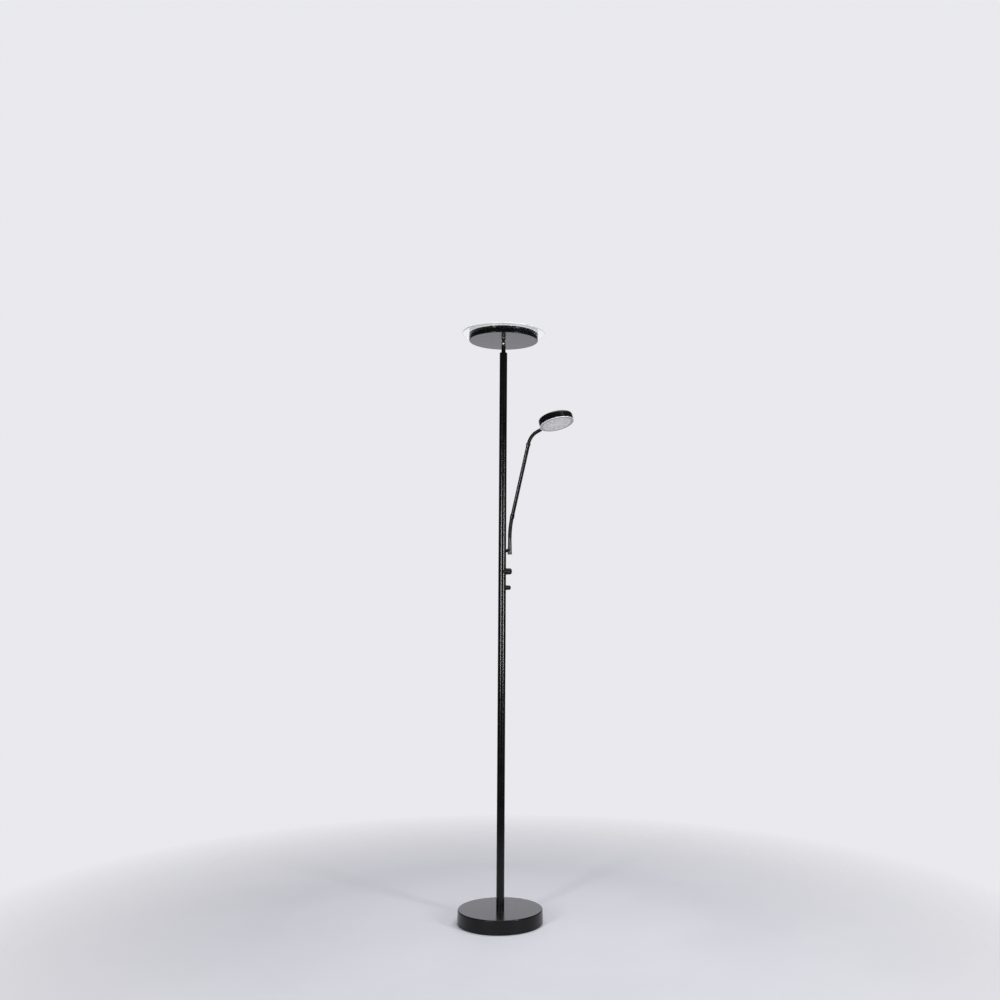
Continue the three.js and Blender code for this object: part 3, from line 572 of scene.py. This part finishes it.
def concrete():
    """Cast weight: sand, pores with painted shade in them, and pale patches."""
    made = Finish("concrete", (0.40, 0.39, 0.37), 0.9)
    sand = made.noise(420, 6.0, 0.7)
    patches = made.mixed(made.ranged(made.noise(24, 4.0), 0.0, 1.0), (0.33, 0.32, 0.30), (0.47, 0.46, 0.43))
    # The pores are painted dark: painted shade in their hollows.
    made.colour(made.mixed(made.ranged(made.cells(190), 0.0, 1.0, 0.0, 0.12), (0.16, 0.155, 0.15), patches))
    made.roughness(made.ranged(sand, 0.82, 0.98))
    made.bumps((sand, 0.3 * MM), (made.cells(190), 0.4 * MM))
    return made.material


def led_board():
    """White solder mask with the faint weave of the board under it."""
    made = Finish("led_board", (0.80, 0.81, 0.79), 0.45)
    weave = made.noise(700, 3.0, 0.6, made.stretched((1, 6, 1)))
    made.colour(made.mixed(made.ranged(weave, 0.0, 1.0), (0.77, 0.78, 0.76), (0.84, 0.85, 0.83)))
    made.roughness(made.ranged(made.noise(300, 3.0), 0.38, 0.52))
    made.bumps((weave, 0.02 * MM))
    return made.material


def opal_plastic():
    """Milky diffuser sheet with soft scatter under its surface."""
    made = Finish("opal_plastic", (0.84, 0.85, 0.86), 0.42, Subsurface_Weight=0.25, Subsurface_Scale=0.004)
    milk = made.noise(55, 5.0)
    made.colour(made.mixed(made.ranged(milk, 0.0, 1.0), (0.80, 0.81, 0.83), (0.87, 0.88, 0.88)))
    made.roughness(made.ranged(made.noise(500, 3.0), 0.36, 0.48))
    made.bumps((made.noise(1900, 2.0), 0.01 * MM))
    return made.material


def frosted_plastic(at, inner, outer):
    """Frosted lens: a greyer border, and the LEDs as faint spots behind its paler middle."""
    made = Finish("frosted_plastic", (0.60, 0.61, 0.64), 0.3, Coat_Weight=0.25, Coat_Roughness=0.22)
    turn = made.nodes.new("ShaderNodeMapping")
    turn.vector_type = "TEXTURE"
    turn.inputs["Location"].default_value = at.translation
    turn.inputs["Rotation"].default_value = at.to_euler()
    made.links.new(made.where, turn.inputs["Vector"])
    flat = made.add("ShaderNodeSeparateXYZ", {"Vector": turn.outputs["Vector"]})
    x, y = flat.outputs["X"], flat.outputs["Y"]
    reach = made.reach(turn.outputs["Vector"])
    border = made.ranged(reach, 0.0, 1.0, inner - 1.2 * MM, inner + 0.8 * MM)
    rim = made.ranged(reach, 0.0, 1.0, outer - 1.6 * MM, outer - 0.6 * MM)
    angle = made.math("ARCTAN2", y, x)
    wave = made.math("COSINE", made.math("MULTIPLY", angle, float(READING_LEDS)), 0.0)
    from_ring = made.math("ABSOLUTE", made.math("SUBTRACT", reach, LED_RING), 0.0)
    ring = made.ranged(from_ring, 1.0, 0.0, 0.0, 6 * MM)
    spots = made.math("MULTIPLY", made.ranged(wave, 0.0, 1.0, 0.2, 1.0), ring)
    cloud = made.ranged(made.noise(45, 3.0, 0.5, made.stretched((1, 3, 1))), 0.0, 1.0)
    middle = made.mixed(cloud, (0.60, 0.60, 0.615), (0.84, 0.84, 0.86))
    lit = made.mixed(made.math("MULTIPLY", spots, 0.9), middle, (0.32, 0.32, 0.33))
    edged = made.mixed(border, lit, (0.41, 0.41, 0.425))
    made.colour(made.mixed(rim, edged, (0.90, 0.90, 0.92)))
    made.roughness(made.ranged(made.noise(260, 4.0), 0.24, 0.38))
    made.bumps((made.noise(2600, 2.0), 0.012 * MM), (made.noise(60, 2.0), 0.05 * MM))
    return made.material


def clear_glass(outer):
    """Clear plate glass with a few smears and a finely ground, milky edge."""
    made = Finish("clear_glass", (0.97, 0.985, 0.98), 0.02, Transmission_Weight=1.0, IOR=1.4)
    smears = made.noise(14, 5.0, 0.6)
    ground = made.ranged(made.reach(made.where), 0.0, 1.0, outer - 0.25 * MM, outer - 0.1 * MM)
    clear = made.mixed(made.ranged(smears, 0.0, 1.0), (0.965, 0.98, 0.975), (0.99, 0.995, 0.99))
    made.colour(made.mixed(ground, clear, (0.80, 0.84, 0.83)))
    made.roughness(made.math("ADD", made.ranged(smears, 0.0, 0.03), made.math("MULTIPLY", ground, 0.4)))
    see_through = made.math("SUBTRACT", 1.0, made.math("MULTIPLY", ground, 0.8))
    made.links.new(see_through, made.shader.inputs["Transmission Weight"])
    made.bumps((made.noise(9, 2.0), 0.02 * MM))
    return made.material


# ---- Where the arm stands ----

swivel = Vector(joints["arm_swivel"]["pos_m"])
hinge_axis = Vector(joints["upper_neck_bend"]["axis"])
arm_out = hinge_axis.cross(UP)
side_out = Vector(joints["main_dimmer_turn"]["axis"])
tilt = Vector(joints["head_tilt"]["pos_m"])


class Neck:
    """The even bend of a flexible neck through its hinges, which stand at the middle of equal stretches."""

    def __init__(self, names, heading):
        self.joints = [joints[name] for name in names]
        first, second = (self.flat(joint["pos_m"]) for joint in self.joints[:2])
        chord = second - first
        step = heading - math.atan2(chord.y, chord.x)
        self.radius = chord.length / (2 * math.sin(step / 2))
        self.stretch = self.radius * step
        self.length = self.stretch * len(self.joints)
        self.first, self.heading = first, heading
        self.first_heading = heading - step / 2

    @staticmethod
    def flat(point):
        """Distance out along the arm, and height, from the foot of the swivel axis."""
        offset = Vector(point) - Vector((swivel.x, swivel.y, 0))
        return Vector((offset.dot(arm_out), offset.z))

    def at(self, distance):
        """Frame at a distance along the neck with its Z along it; past its ends it runs on straight."""
        within = min(max(distance, 0), self.length)
        heading = self.heading - within / self.radius
        out = self.first.x + self.radius * (math.sin(self.first_heading) - math.sin(heading))
        height = self.first.y + self.radius * (math.cos(heading) - math.cos(self.first_heading))
        along = arm_out * math.cos(heading) + UP * math.sin(heading)
        spot = Vector((swivel.x, swivel.y, 0)) + arm_out * out + UP * height
        return place(spot + along * (distance - within), along, hinge_axis)

    def heading_after(self):
        return self.heading - self.length / self.radius


lower_neck = Neck(["lower_neck_bend", "lower_neck_bend_2"], math.pi / 2)
upper_neck = Neck(["upper_neck_bend", "upper_neck_bend_2", "upper_neck_bend_3"], lower_neck.heading_after())
tube_at = lower_neck.at(lower_neck.length)
entry_at = upper_neck.at(upper_neck.length)
light_up = hinge_axis.cross(entry_at.col[2].xyz) * -1
light_at = centred("reading_lens", light_up, entry_at.col[2].xyz)

_, _, READING_R = measure("reading_lens", light_at)
_, _, BOARD_R = measure("reading_led_board", light_at)
READING_LEDS = 12
LED_RING = BOARD_R - 10 * MM


# ---- Base and pole ----


def build_base():
    low, high, outer = measure("base_cover", UPRIGHT)
    top_r = outer - COVER_TAPER
    cover = lathe(
        "base_cover_spun",
        [
            (outer - COVER_FOOT, low, 0),
            (outer, low, COVER_FOOT),
            (top_r, high, COVER_EDGE),
            (PIPE_HOLE, high, FINE_EDGE),
            (PIPE_HOLE, high - COVER_WALL, 0.1 * MM),
            (top_r - COVER_WALL, high - COVER_WALL, COVER_EDGE - COVER_WALL),
            (outer - COVER_WALL, low + COVER_WALL, COVER_FOOT - COVER_WALL),
            (outer - COVER_FOOT, low + COVER_WALL, 0),
        ],
        UPRIGHT,
        BROAD,
        8,
    )
    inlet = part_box("cord_grommet")
    inlet_at = place((0, 0, (inlet[0].z + inlet[1].z) / 2), (0, 1, 0))
    start, end, flange = measure("cord_grommet", inlet_at)
    hole = flange - INLET_LIP
    cutter = rod("inlet_hole", hole, outer - CUT_REACH, outer + CUT_REACH, inlet_at, SMALL)
    cover = combined(cover, [cutter])
    rides(cover, "base_cover")

    bore = hole - INLET_WALL
    barb = flange - MM
    inside = top_r - COVER_WALL - GAP
    bush = lathe(
        "cord_grommet_bush",
        [
            (bore, start, 0.3 * MM),
            (hole - GAP, start, 0.3 * MM),
            (barb, inside - 0.8 * MM, 0.2 * MM),
            (barb, inside, 0.1 * MM),
            (hole - GAP, inside, 0),
            (hole - GAP, outer + GAP, 0),
            (flange, outer + GAP, 0.2 * MM),
            (flange, end, 1.6 * MM),
            (bore, end, 0.6 * MM),
        ],
        inlet_at,
        SMALL,
    )
    rides(bush, "cord_grommet")

    low, high, outer = measure("base_pad", UPRIGHT)
    pad = rod("base_pad_felt", outer, low, high, UPRIGHT, BROAD, 0.5 * MM)
    rides(pad, "base_pad")


def build_pole():
    for name in ("lower", "middle", "controls", "upper"):
        low, high, outer = measure(f"pole_tube_{name}", UPRIGHT)
        tube = sleeve(f"pole_{name}_drawn", outer, outer - TUBE_WALL, low, high, edge=TUBE_EDGE)
        rides(tube, f"pole_tube_{name}")

    low, high, outer = measure("pole_cap", UPRIGHT)
    shoulder = high - CAP_THICKNESS
    spigot = outer - TUBE_WALL - GAP
    cap = lathe(
        "pole_cap_turned",
        [
            (STUD_HOLE, low, 0),
            (spigot, low, FINE_EDGE),
            (spigot, shoulder, 0),
            (outer, shoulder, 0.2 * MM),
            (outer, high, CAP_EDGE),
            (STUD_HOLE, high, 0),
        ],
        UPRIGHT,
    )
    rides(cap, "pole_cap")


# ---- Neck and uplighter ----


def build_fork():
    low, high, outer = measure("neck_fork", UPRIGHT)
    _, foot, _ = measure("pole_cap", UPRIGHT)
    fork = lathe(
        "neck_fork_turned",
        [
            (FORK_BORE, low, 0),
            (FORK_STUD, low, FINE_EDGE),
            (FORK_STUD, foot, 0),
            (outer, foot, 0.4 * MM),
            (outer, high, FORK_EDGE),
            (FORK_BORE, high, 0),
        ],
        UPRIGHT,
        SLIM,
        8,
    )
    across = place(tilt, (0, -1, 0))
    slot = prism("slot", box_outline(4 * outer, SLOT_WIDTH), tilt.z - SLOT_DEPTH, high + 4 * MM)
    hole = rod("pin_hole", PIN_HOLE, -2 * outer, 2 * outer, across, SMALL)
    seat = outer - PIN_SEAT_DEPTH
    front = rod("front_seat", PIN_SEAT, seat, 2 * outer, across, SMALL)
    rear = rod("rear_seat", PIN_SEAT, -2 * outer, -seat, across, SMALL)
    rides(combined(fork, [slot, hole, front, rear]), "neck_fork")

    low, high, head = measure("tilt_screw", across)
    screw = lathe(
        "tilt_screw_domed",
        [
            (0, low, 0),
            (PIN_HOLE - GAP, low, FINE_EDGE),
            (PIN_HOLE - GAP, seat, 0),
            (head, seat, 0.1 * MM),
            (head, high - SCREW_DOME, 0.3 * MM),
            (head * 0.72, high - 0.35 * MM, 1.2 * MM),
            (0, high, 0),
        ],
        across,
        SMALL,
    )
    rides(screw, "tilt_screw")
    low, high, corner = measure("tilt_nut", across)
    rides(hex_nut("tilt_nut_chamfered", corner, PIN_HOLE - GAP / 2, low, high, across), "tilt_nut")


def build_tongue():
    _, top, _ = measure("head_tongue", UPRIGHT)
    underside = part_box("head_dish")[0].z
    eye = tilt.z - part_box("head_tongue")[0].z
    half = TONGUE_WIDTH / 2
    lean = math.acos(half / eye)
    # The eye's circle from the neck's left side, round below, to its right side; X across and Y up.
    outline = circle(eye, 40, 0, 0, math.pi - lean, math.pi + 2 * lean)
    rise = underside - TONGUE_COLLAR_HEIGHT / 2 - tilt.z
    outline += [(half, math.sin(lean) * eye), (half, rise), (-half, rise)]
    across = place(tilt, (0, -1, 0))
    thickness = (SLOT_WIDTH - 2 * GAP) / 2
    tongue = prism("head_tongue_forged", outline, -thickness, thickness, across, 0.4 * MM)
    collar_low = underside - TONGUE_COLLAR_HEIGHT
    stud = lathe(
        "stud",
        [
            (0, collar_low, 0),
            (TONGUE_COLLAR, collar_low, 0.3 * MM),
            (TONGUE_COLLAR, underside, 0.1 * MM),
            (TONGUE_STUD, underside, 0),
            (TONGUE_STUD, top, 0.5 * MM),
            (0, top, 0),
        ],
        UPRIGHT,
        SMALL,
    )
    tongue = combined(tongue, [stud], "UNION")
    hole = rod("pin_hole", PIN_HOLE, -2 * half, 2 * half, across, SMALL)
    rides(combined(tongue, [hole]), "head_tongue")


def build_head():
    low, high, outer = measure("head_dish", UPRIGHT)
    hole = TONGUE_STUD + GAP
    dish = lathe(
        "head_dish_spun",
        [
            (hole, low, 0.1 * MM),
            (outer, low, DISH_EDGE),
            (outer, high, 0.5 * MM),
            (outer - DISH_WALL, high, 0.5 * MM),
            (outer - DISH_WALL, low + DISH_WALL, MM),
            (hole, low + DISH_WALL, 0.1 * MM),
        ],
        UPRIGHT,
        BROAD,
        8,
    )
    rides(dish, "head_dish")

    low, high, outer = measure("head_diffuser", UPRIGHT)
    diffuser = lathe(
        "head_diffuser_moulded",
        [
            (0, high - DIFFUSER_WALL, 0),
            (outer - DIFFUSER_WALL, high - DIFFUSER_WALL, 0.5 * MM),
            (outer - DIFFUSER_WALL, low, 0.2 * MM),
            (outer, low, 0.2 * MM),
            (outer, high, 0.8 * MM),
            (0, high, 0),
        ],
        UPRIGHT,
        BROAD,
    )
    rides(diffuser, "head_diffuser")

    low, high, outer = measure("head_glass", UPRIGHT)
    rides(rod("head_glass_ground", outer, low, high, UPRIGHT, BROAD, GLASS_ARRIS), "head_glass")


# ---- Controls and arm socket ----


def side_place(height):
    """Frame on the pole's axis at a height, with its Z out along the line of the controls."""
    return place((0, 0, height), side_out, UP)


def build_dimmer(name):
    at = side_place(joints[f"{name}_turn"]["pos_m"][2])
    pole_r = measure("pole_tube_controls", UPRIGHT)[2]
    _, face, outer = measure(f"{name}_saddle", at)
    pad = lathe(
        f"{name}_saddle_moulded",
        [(0, pole_r / 4, 0), (outer, pole_r / 4, 0), (outer, face, 0.5 * MM), (0, face, 0)],
        at,
    )
    pole = rod("pole", pole_r + GAP, -2 * outer, 2 * outer, place((0, 0, at.translation.z), UP))
    bush_hole = rod("bush_hole", SADDLE_BORE, 0, 2 * face, at, SMALL)
    rides(combined(pad, [pole, bush_hole]), f"{name}_saddle")

    back, tip, outer = measure(f"{name}_knob", at)
    length = tip - back
    skirt = back + KNOB_SKIRT_SHARE * length
    ledge = outer - KNOB_LEDGE
    knob = lathe(
        f"{name}_knob_moulded",
        [
            (KNOB_POCKET, back, 0.2 * MM),
            (outer, back, 0.6 * MM),
            (outer, skirt, 0.2 * MM),
            (ledge, skirt + 0.5 * MM, 0.2 * MM),
            (ledge, tip, KNOB_EDGE_SHARE * outer),
            (0, tip, 0),
            (0, back + KNOB_POCKET_DEPTH, 0),
            (KNOB_POCKET, back + KNOB_POCKET_DEPTH, 0.2 * MM),
        ],
        at,
        SLIM,
        10,
    )
    start, end, half = outer * POINTER_FROM_SHARE, outer * POINTER_TO_SHARE, POINTER_HALF_WIDTH
    outline = [(start, -half), (end, -half), (end, half), (start, half)]
    pointer = prism("pointer", outline, tip - POINTER_DEPTH, tip + MM, at)
    rides(combined(knob, [pointer]), f"{name}_knob")


def build_socket():
    low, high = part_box("arm_socket")[0].z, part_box("arm_socket")[1].z
    upright = place((swivel.x, swivel.y, 0), UP)
    reach = math.hypot(swivel.x, swivel.y)
    pole_r = measure("pole_tube_controls", UPRIGHT)[2]
    body = lathe(
        "arm_socket_turned",
        [(0, low, 0), (SOCKET_BOTTOM_R, low, 0.9 * MM), (SOCKET_TOP_R, high, 0.5 * MM), (0, high, 0)],
        upright,
    )
    at = side_place(low + STUB_RISE)
    waist = (pole_r + reach - SOCKET_BOTTOM_R) / 2
    stub = lathe(
        "stub",
        [
            (0, pole_r / 2, 0),
            (STUB_R, pole_r / 2, 0),
            (STUB_R, pole_r + 0.6 * MM, 0.5 * MM),
            (STUB_WAIST, waist, 1.5 * MM),
            (STUB_WAIST, reach, 0),
            (0, reach, 0),
        ],
        at,
    )
    body = combined(body, [stub], "UNION")
    pole = rod("pole", pole_r + GAP, low, high)
    bore = rod("bore", SOCKET_BORE, low + SOCKET_FLOOR, high + MM, upright, SMALL)
    well = rod("well", SPIGOT_R, low - MM, low + SCREW_WELL_DEPTH, upright, SMALL)
    rides(combined(body, [pole, bore, well]), "arm_socket")


# ---- Arm ----


def neck_skin(name, neck, radius, start, end):
    """Wound hose between two distances along a neck: one ridge that runs round it as a helix."""
    bm = bmesh.new()
    count = round((end - start) / (NECK_PITCH / RINGS_PER_TURN))
    rings = []
    for k in range(count + 1):
        distance = start + (end - start) * k / count
        at = neck.at(distance)
        ring = []
        for i in range(SMALL):
            turn = i / SMALL
            ridge = 0.5 + 0.5 * math.cos(2 * math.pi * (distance / NECK_PITCH - turn))
            r = radius - NECK_GROOVE * ridge**2
            angle = 2 * math.pi * turn
            ring.append(bm.verts.new(at @ Vector((r * math.cos(angle), r * math.sin(angle), 0))))
        rings.append(ring)
    for lower, upper in zip(rings, rings[1:]):
        for i in range(SMALL):
            j = (i + 1) % SMALL
            bm.faces.new((lower[i], lower[j], upper[j], upper[i]))
    bm.faces.new(rings[0][::-1])
    bm.faces.new(rings[-1])
    return finished(name, bm)


def build_neck(name, neck, nodes, end):
    """One length of skin for each hinge, bending from the middle of one link to that of the next."""
    radius = measure(nodes[0][0], neck.at(0))[2]
    for i, joint in enumerate(neck.joints):
        start, stop = i * neck.stretch, (i + 1) * neck.stretch
        last = i == len(neck.joints) - 1
        skin = neck_skin(f"{name}_hose_{i + 1}", neck, radius, start, end if last else stop)
        stand_in(skin, *nodes[i])
        tuple(neck.at(start).translation)
        tuple(neck.at(stop).translation)
        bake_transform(skin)


def build_arm():
    upright = place((swivel.x, swivel.y, 0), UP)
    low, high, outer = measure("arm_spigot", upright)
    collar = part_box("arm_socket")[1].z + COLLAR_CLEAR
    spigot = lathe(
        "arm_spigot_turned",
        [
            (SPIGOT_BORE, low, 0),
            (SPIGOT_R, low, FINE_EDGE),
            (SPIGOT_R, collar, 0),
            (outer, collar, 0.2 * MM),
            (outer, high, 0.4 * MM),
            (SPIGOT_BORE, high, 0),
        ],
        upright,
        SMALL,
    )
    rides(spigot, "arm_spigot")

    tube_end = upper_neck.at(0).translation
    tube_length = (tube_end - tube_at.translation).length
    lower_nodes = [["lower_neck_base"], ["lower_neck_link", "lower_neck_end"]]
    build_neck("lower_neck", lower_neck, lower_nodes, lower_neck.length)
    _, _, outer = measure("arm_tube", tube_at)
    rides(sleeve("arm_tube_drawn", outer, outer - ARM_WALL, 0, tube_length, tube_at), "arm_tube")
    for name in ("lower_neck_ferrule", "upper_neck_ferrule"):
        low, high, ring = measure(name, tube_at)
        rides(sleeve(f"{name}_rolled", ring, outer + 0.1 * MM, low, high, tube_at, SLIM, 0.45 * MM), name)

    low, high, ring = measure("reading_ferrule", entry_at)
    _, neck_end, neck_r = measure("upper_neck_end", entry_at)
    upper_nodes = [["upper_neck_base"], ["upper_neck_link_1"], ["upper_neck_link_2", "upper_neck_end"]]
    build_neck("upper_neck", upper_neck, upper_nodes, upper_neck.length + neck_end)
    ferrule = sleeve("reading_ferrule_rolled", ring, neck_r + 0.1 * MM, low, high, entry_at, SLIM, 0.4 * MM)
    rides(ferrule, "reading_ferrule")


# ---- Reading light ----


def build_reading_light():
    low, high, outer = measure("reading_housing", light_at)
    housing = lathe(
        "reading_housing_spun",
        [
            (outer - READING_WALL, low, FINE_EDGE),
            (outer, low, FINE_EDGE),
            (outer, high, READING_EDGE),
            (0, high, 0),
            (0, high - READING_WALL, 0),
            (outer - READING_WALL, high - READING_WALL, READING_EDGE - READING_WALL),
        ],
        light_at,
        BROAD,
        10,
    )
    neck_r = measure("upper_neck_end", entry_at)[2]
    entry = rod("entry", neck_r + GAP, 0, ENTRY_REACH, entry_at, SMALL)
    rides(combined(housing, [entry]), "reading_housing")

    low, high, outer = measure("reading_lens", light_at)
    step_r = outer - LENS_BORDER
    skirt_r = outer - READING_WALL - GAP
    rim = measure("reading_housing", light_at)[0]
    lens = lathe(
        "reading_lens_moulded",
        [
            (0, low + LENS_STEP, 0),
            (step_r, low + LENS_STEP, 0.3 * MM),
            (step_r + LENS_STEP, low, 0.4 * MM),
            (outer, low, 0.5 * MM),
            (outer, rim, 0.1 * MM),
            (skirt_r, rim, 0),
            (skirt_r, high, 0.2 * MM),
            (skirt_r - READING_WALL, high, 0.2 * MM),
            (skirt_r - READING_WALL, rim, 0),
            (0, rim, 0),
        ],
        light_at,
        BROAD,
    )
    rides(lens, "reading_lens")


# ---- Studio ----


def build_floor():
    """Pale floor that fades out into the backdrop's tone."""
    bm = bmesh.new()
    bmesh.ops.create_circle(bm, cap_ends=True, radius=FLOOR_R, segments=96)
    floor = finished("studio_floor", bm)
    made = Finish("studio_floor", (0.66, 0.66, 0.72), 0.7)
    speckle = made.ranged(made.noise(3, 5.0), 0.0, 1.0)
    made.colour(made.mixed(speckle, (0.645, 0.645, 0.705), (0.675, 0.675, 0.735)))
    distance = made.add("ShaderNodeVectorMath", {"Vector": made.where})
    distance.operation = "LENGTH"
    fade = made.ranged(distance.outputs["Value"], 0.0, 1.0, *FLOOR_FADE)
    blend = made.add("ShaderNodeMixShader", {"Fac": fade})
    clear = made.nodes.new("ShaderNodeBsdfTransparent")
    made.links.new(made.shader.outputs["BSDF"], blend.inputs[1])
    made.links.new(clear.outputs["BSDF"], blend.inputs[2])
    made.links.new(blend.outputs["Shader"], made.nodes["Material Output"].inputs["Surface"])
    floor.data.materials.append(made.material)


def build_world():
    """Pale room: an even backdrop, seen directly or through glass, and reflections darker in front."""
    world = bpy.data.worlds.new("studio")
    bpy.context.scene.world = world
    world.use_nodes = True
    nodes, links = world.node_tree.nodes, world.node_tree.links
    lit = nodes["Background"]
    seen = nodes.new("ShaderNodeBackground")
    seen.inputs["Color"].default_value = BACKDROP
    where = nodes.new("ShaderNodeTexCoord").outputs["Generated"]
    split = nodes.new("ShaderNodeSeparateXYZ")
    links.new(where, split.inputs["Vector"])
    ramp = nodes.new("ShaderNodeValToRGB")
    stops = ramp.color_ramp
    stops.elements[0].position = 0.0
    stops.elements[0].color = ROOM_FRONT
    stops.elements[1].position = 1.0
    stops.elements[1].color = ROOM_BACK
    middle = stops.elements.new(ROOM_MIDDLE_AT)
    middle.color = ROOM_MIDDLE
    spread = nodes.new("ShaderNodeMapRange")
    spread.inputs["From Min"].default_value = -1.0
    links.new(split.outputs["Y"], spread.inputs["Value"])
    links.new(spread.outputs["Result"], ramp.inputs["Fac"])
    links.new(ramp.outputs["Color"], lit.inputs["Color"])
    chosen = nodes.new("ShaderNodeMixShader")
    path = nodes.new("ShaderNodeLightPath")
    direct = nodes.new("ShaderNodeMath")
    direct.operation = "MAXIMUM"
    links.new(path.outputs["Is Camera Ray"], direct.inputs[0])
    links.new(path.outputs["Is Transmission Ray"], direct.inputs[1])
    links.new(direct.outputs["Value"], chosen.inputs["Fac"])
    links.new(lit.outputs["Background"], chosen.inputs[1])
    links.new(seen.outputs["Background"], chosen.inputs[2])
    links.new(chosen.outputs["Shader"], nodes["World Output"].inputs["Surface"])


def softbox(name, azimuth):
    """Area light at an azimuth from the front, positive to the lamp's right, facing the pole."""
    light = bpy.data.lights.new(name, "AREA")
    light.shape = "RECTANGLE"
    light.size, light.size_y = SOFTBOX_SIZE
    light.energy = SOFTBOX_POWER
    light.spread = SOFTBOX_SPREAD
    angle = math.radians(azimuth)
    lamp = bpy.data.objects.new(name, light)
    out = Vector((math.sin(angle), -math.cos(angle), 0))
    lamp.matrix_world = place(out * SOFTBOX_DISTANCE + UP * SOFTBOX_HEIGHT, out, UP.cross(out))
    lamp.visible_camera = False
    bpy.context.scene.collection.objects.link(lamp)


def overhead():
    light = bpy.data.lights.new("overhead", "AREA")
    light.size = OVERHEAD_SIZE
    light.energy = OVERHEAD_POWER
    lamp = bpy.data.objects.new("overhead", light)
    lamp.location = OVERHEAD_AT
    lamp.visible_camera = False
    bpy.context.scene.collection.objects.link(lamp)


def build_camera():
    camera = bpy.data.cameras.new("camera")
    camera.sensor_width = 36
    camera.lens = CAMERA_LENS
    camera.shift_x = CAMERA_SHIFT
    camera.clip_start, camera.clip_end = 0.05, 60
    seen = bpy.data.objects.new("camera", camera)
    turn = Matrix.Rotation(CAMERA_TURN, 4, "Z")
    pitch = Matrix.Rotation(CAMERA_PITCH, 4, "X")
    roll = Matrix.Rotation(CAMERA_ROLL, 4, "Z")
    seen.matrix_world = Matrix.Translation(CAMERA_AT) @ turn @ pitch @ roll
    bpy.context.scene.collection.objects.link(seen)
    bpy.context.scene.camera = seen


# ---- The whole lamp ----

finishes = {
    "black_powder_coat": powder_coat(),
    "black_neck": neck_coat(),
    "black_plastic": black_plastic(),
    "rubber": rubber(),
    "felt": felt(),
    "zinc_steel": zinc_steel(),
    "chrome": chrome(),
    "brass": brass(),
    "concrete": concrete(),
    "led_board": led_board(),
    "opal_plastic": opal_plastic(),
    "frosted_plastic": frosted_plastic(light_at, READING_R - LENS_BORDER, READING_R),
    "clear_glass": clear_glass(measure("head_glass", UPRIGHT)[2]),
}
for node, mesh in frame["nodes"].items():
    mesh.data.materials.clear()
    mesh.data.materials.append(finishes[slot_of[node]])

build_base()
build_pole()
build_fork()
build_tongue()
build_head()
build_dimmer("main_dimmer")
build_dimmer("reading_dimmer")
build_socket()
build_arm()
build_reading_light()

build_floor()
build_world()
softbox("softbox_left", -31)
softbox("softbox_right", 45)
overhead()
build_camera()
bpy.context.scene.view_settings.view_transform = "Standard"
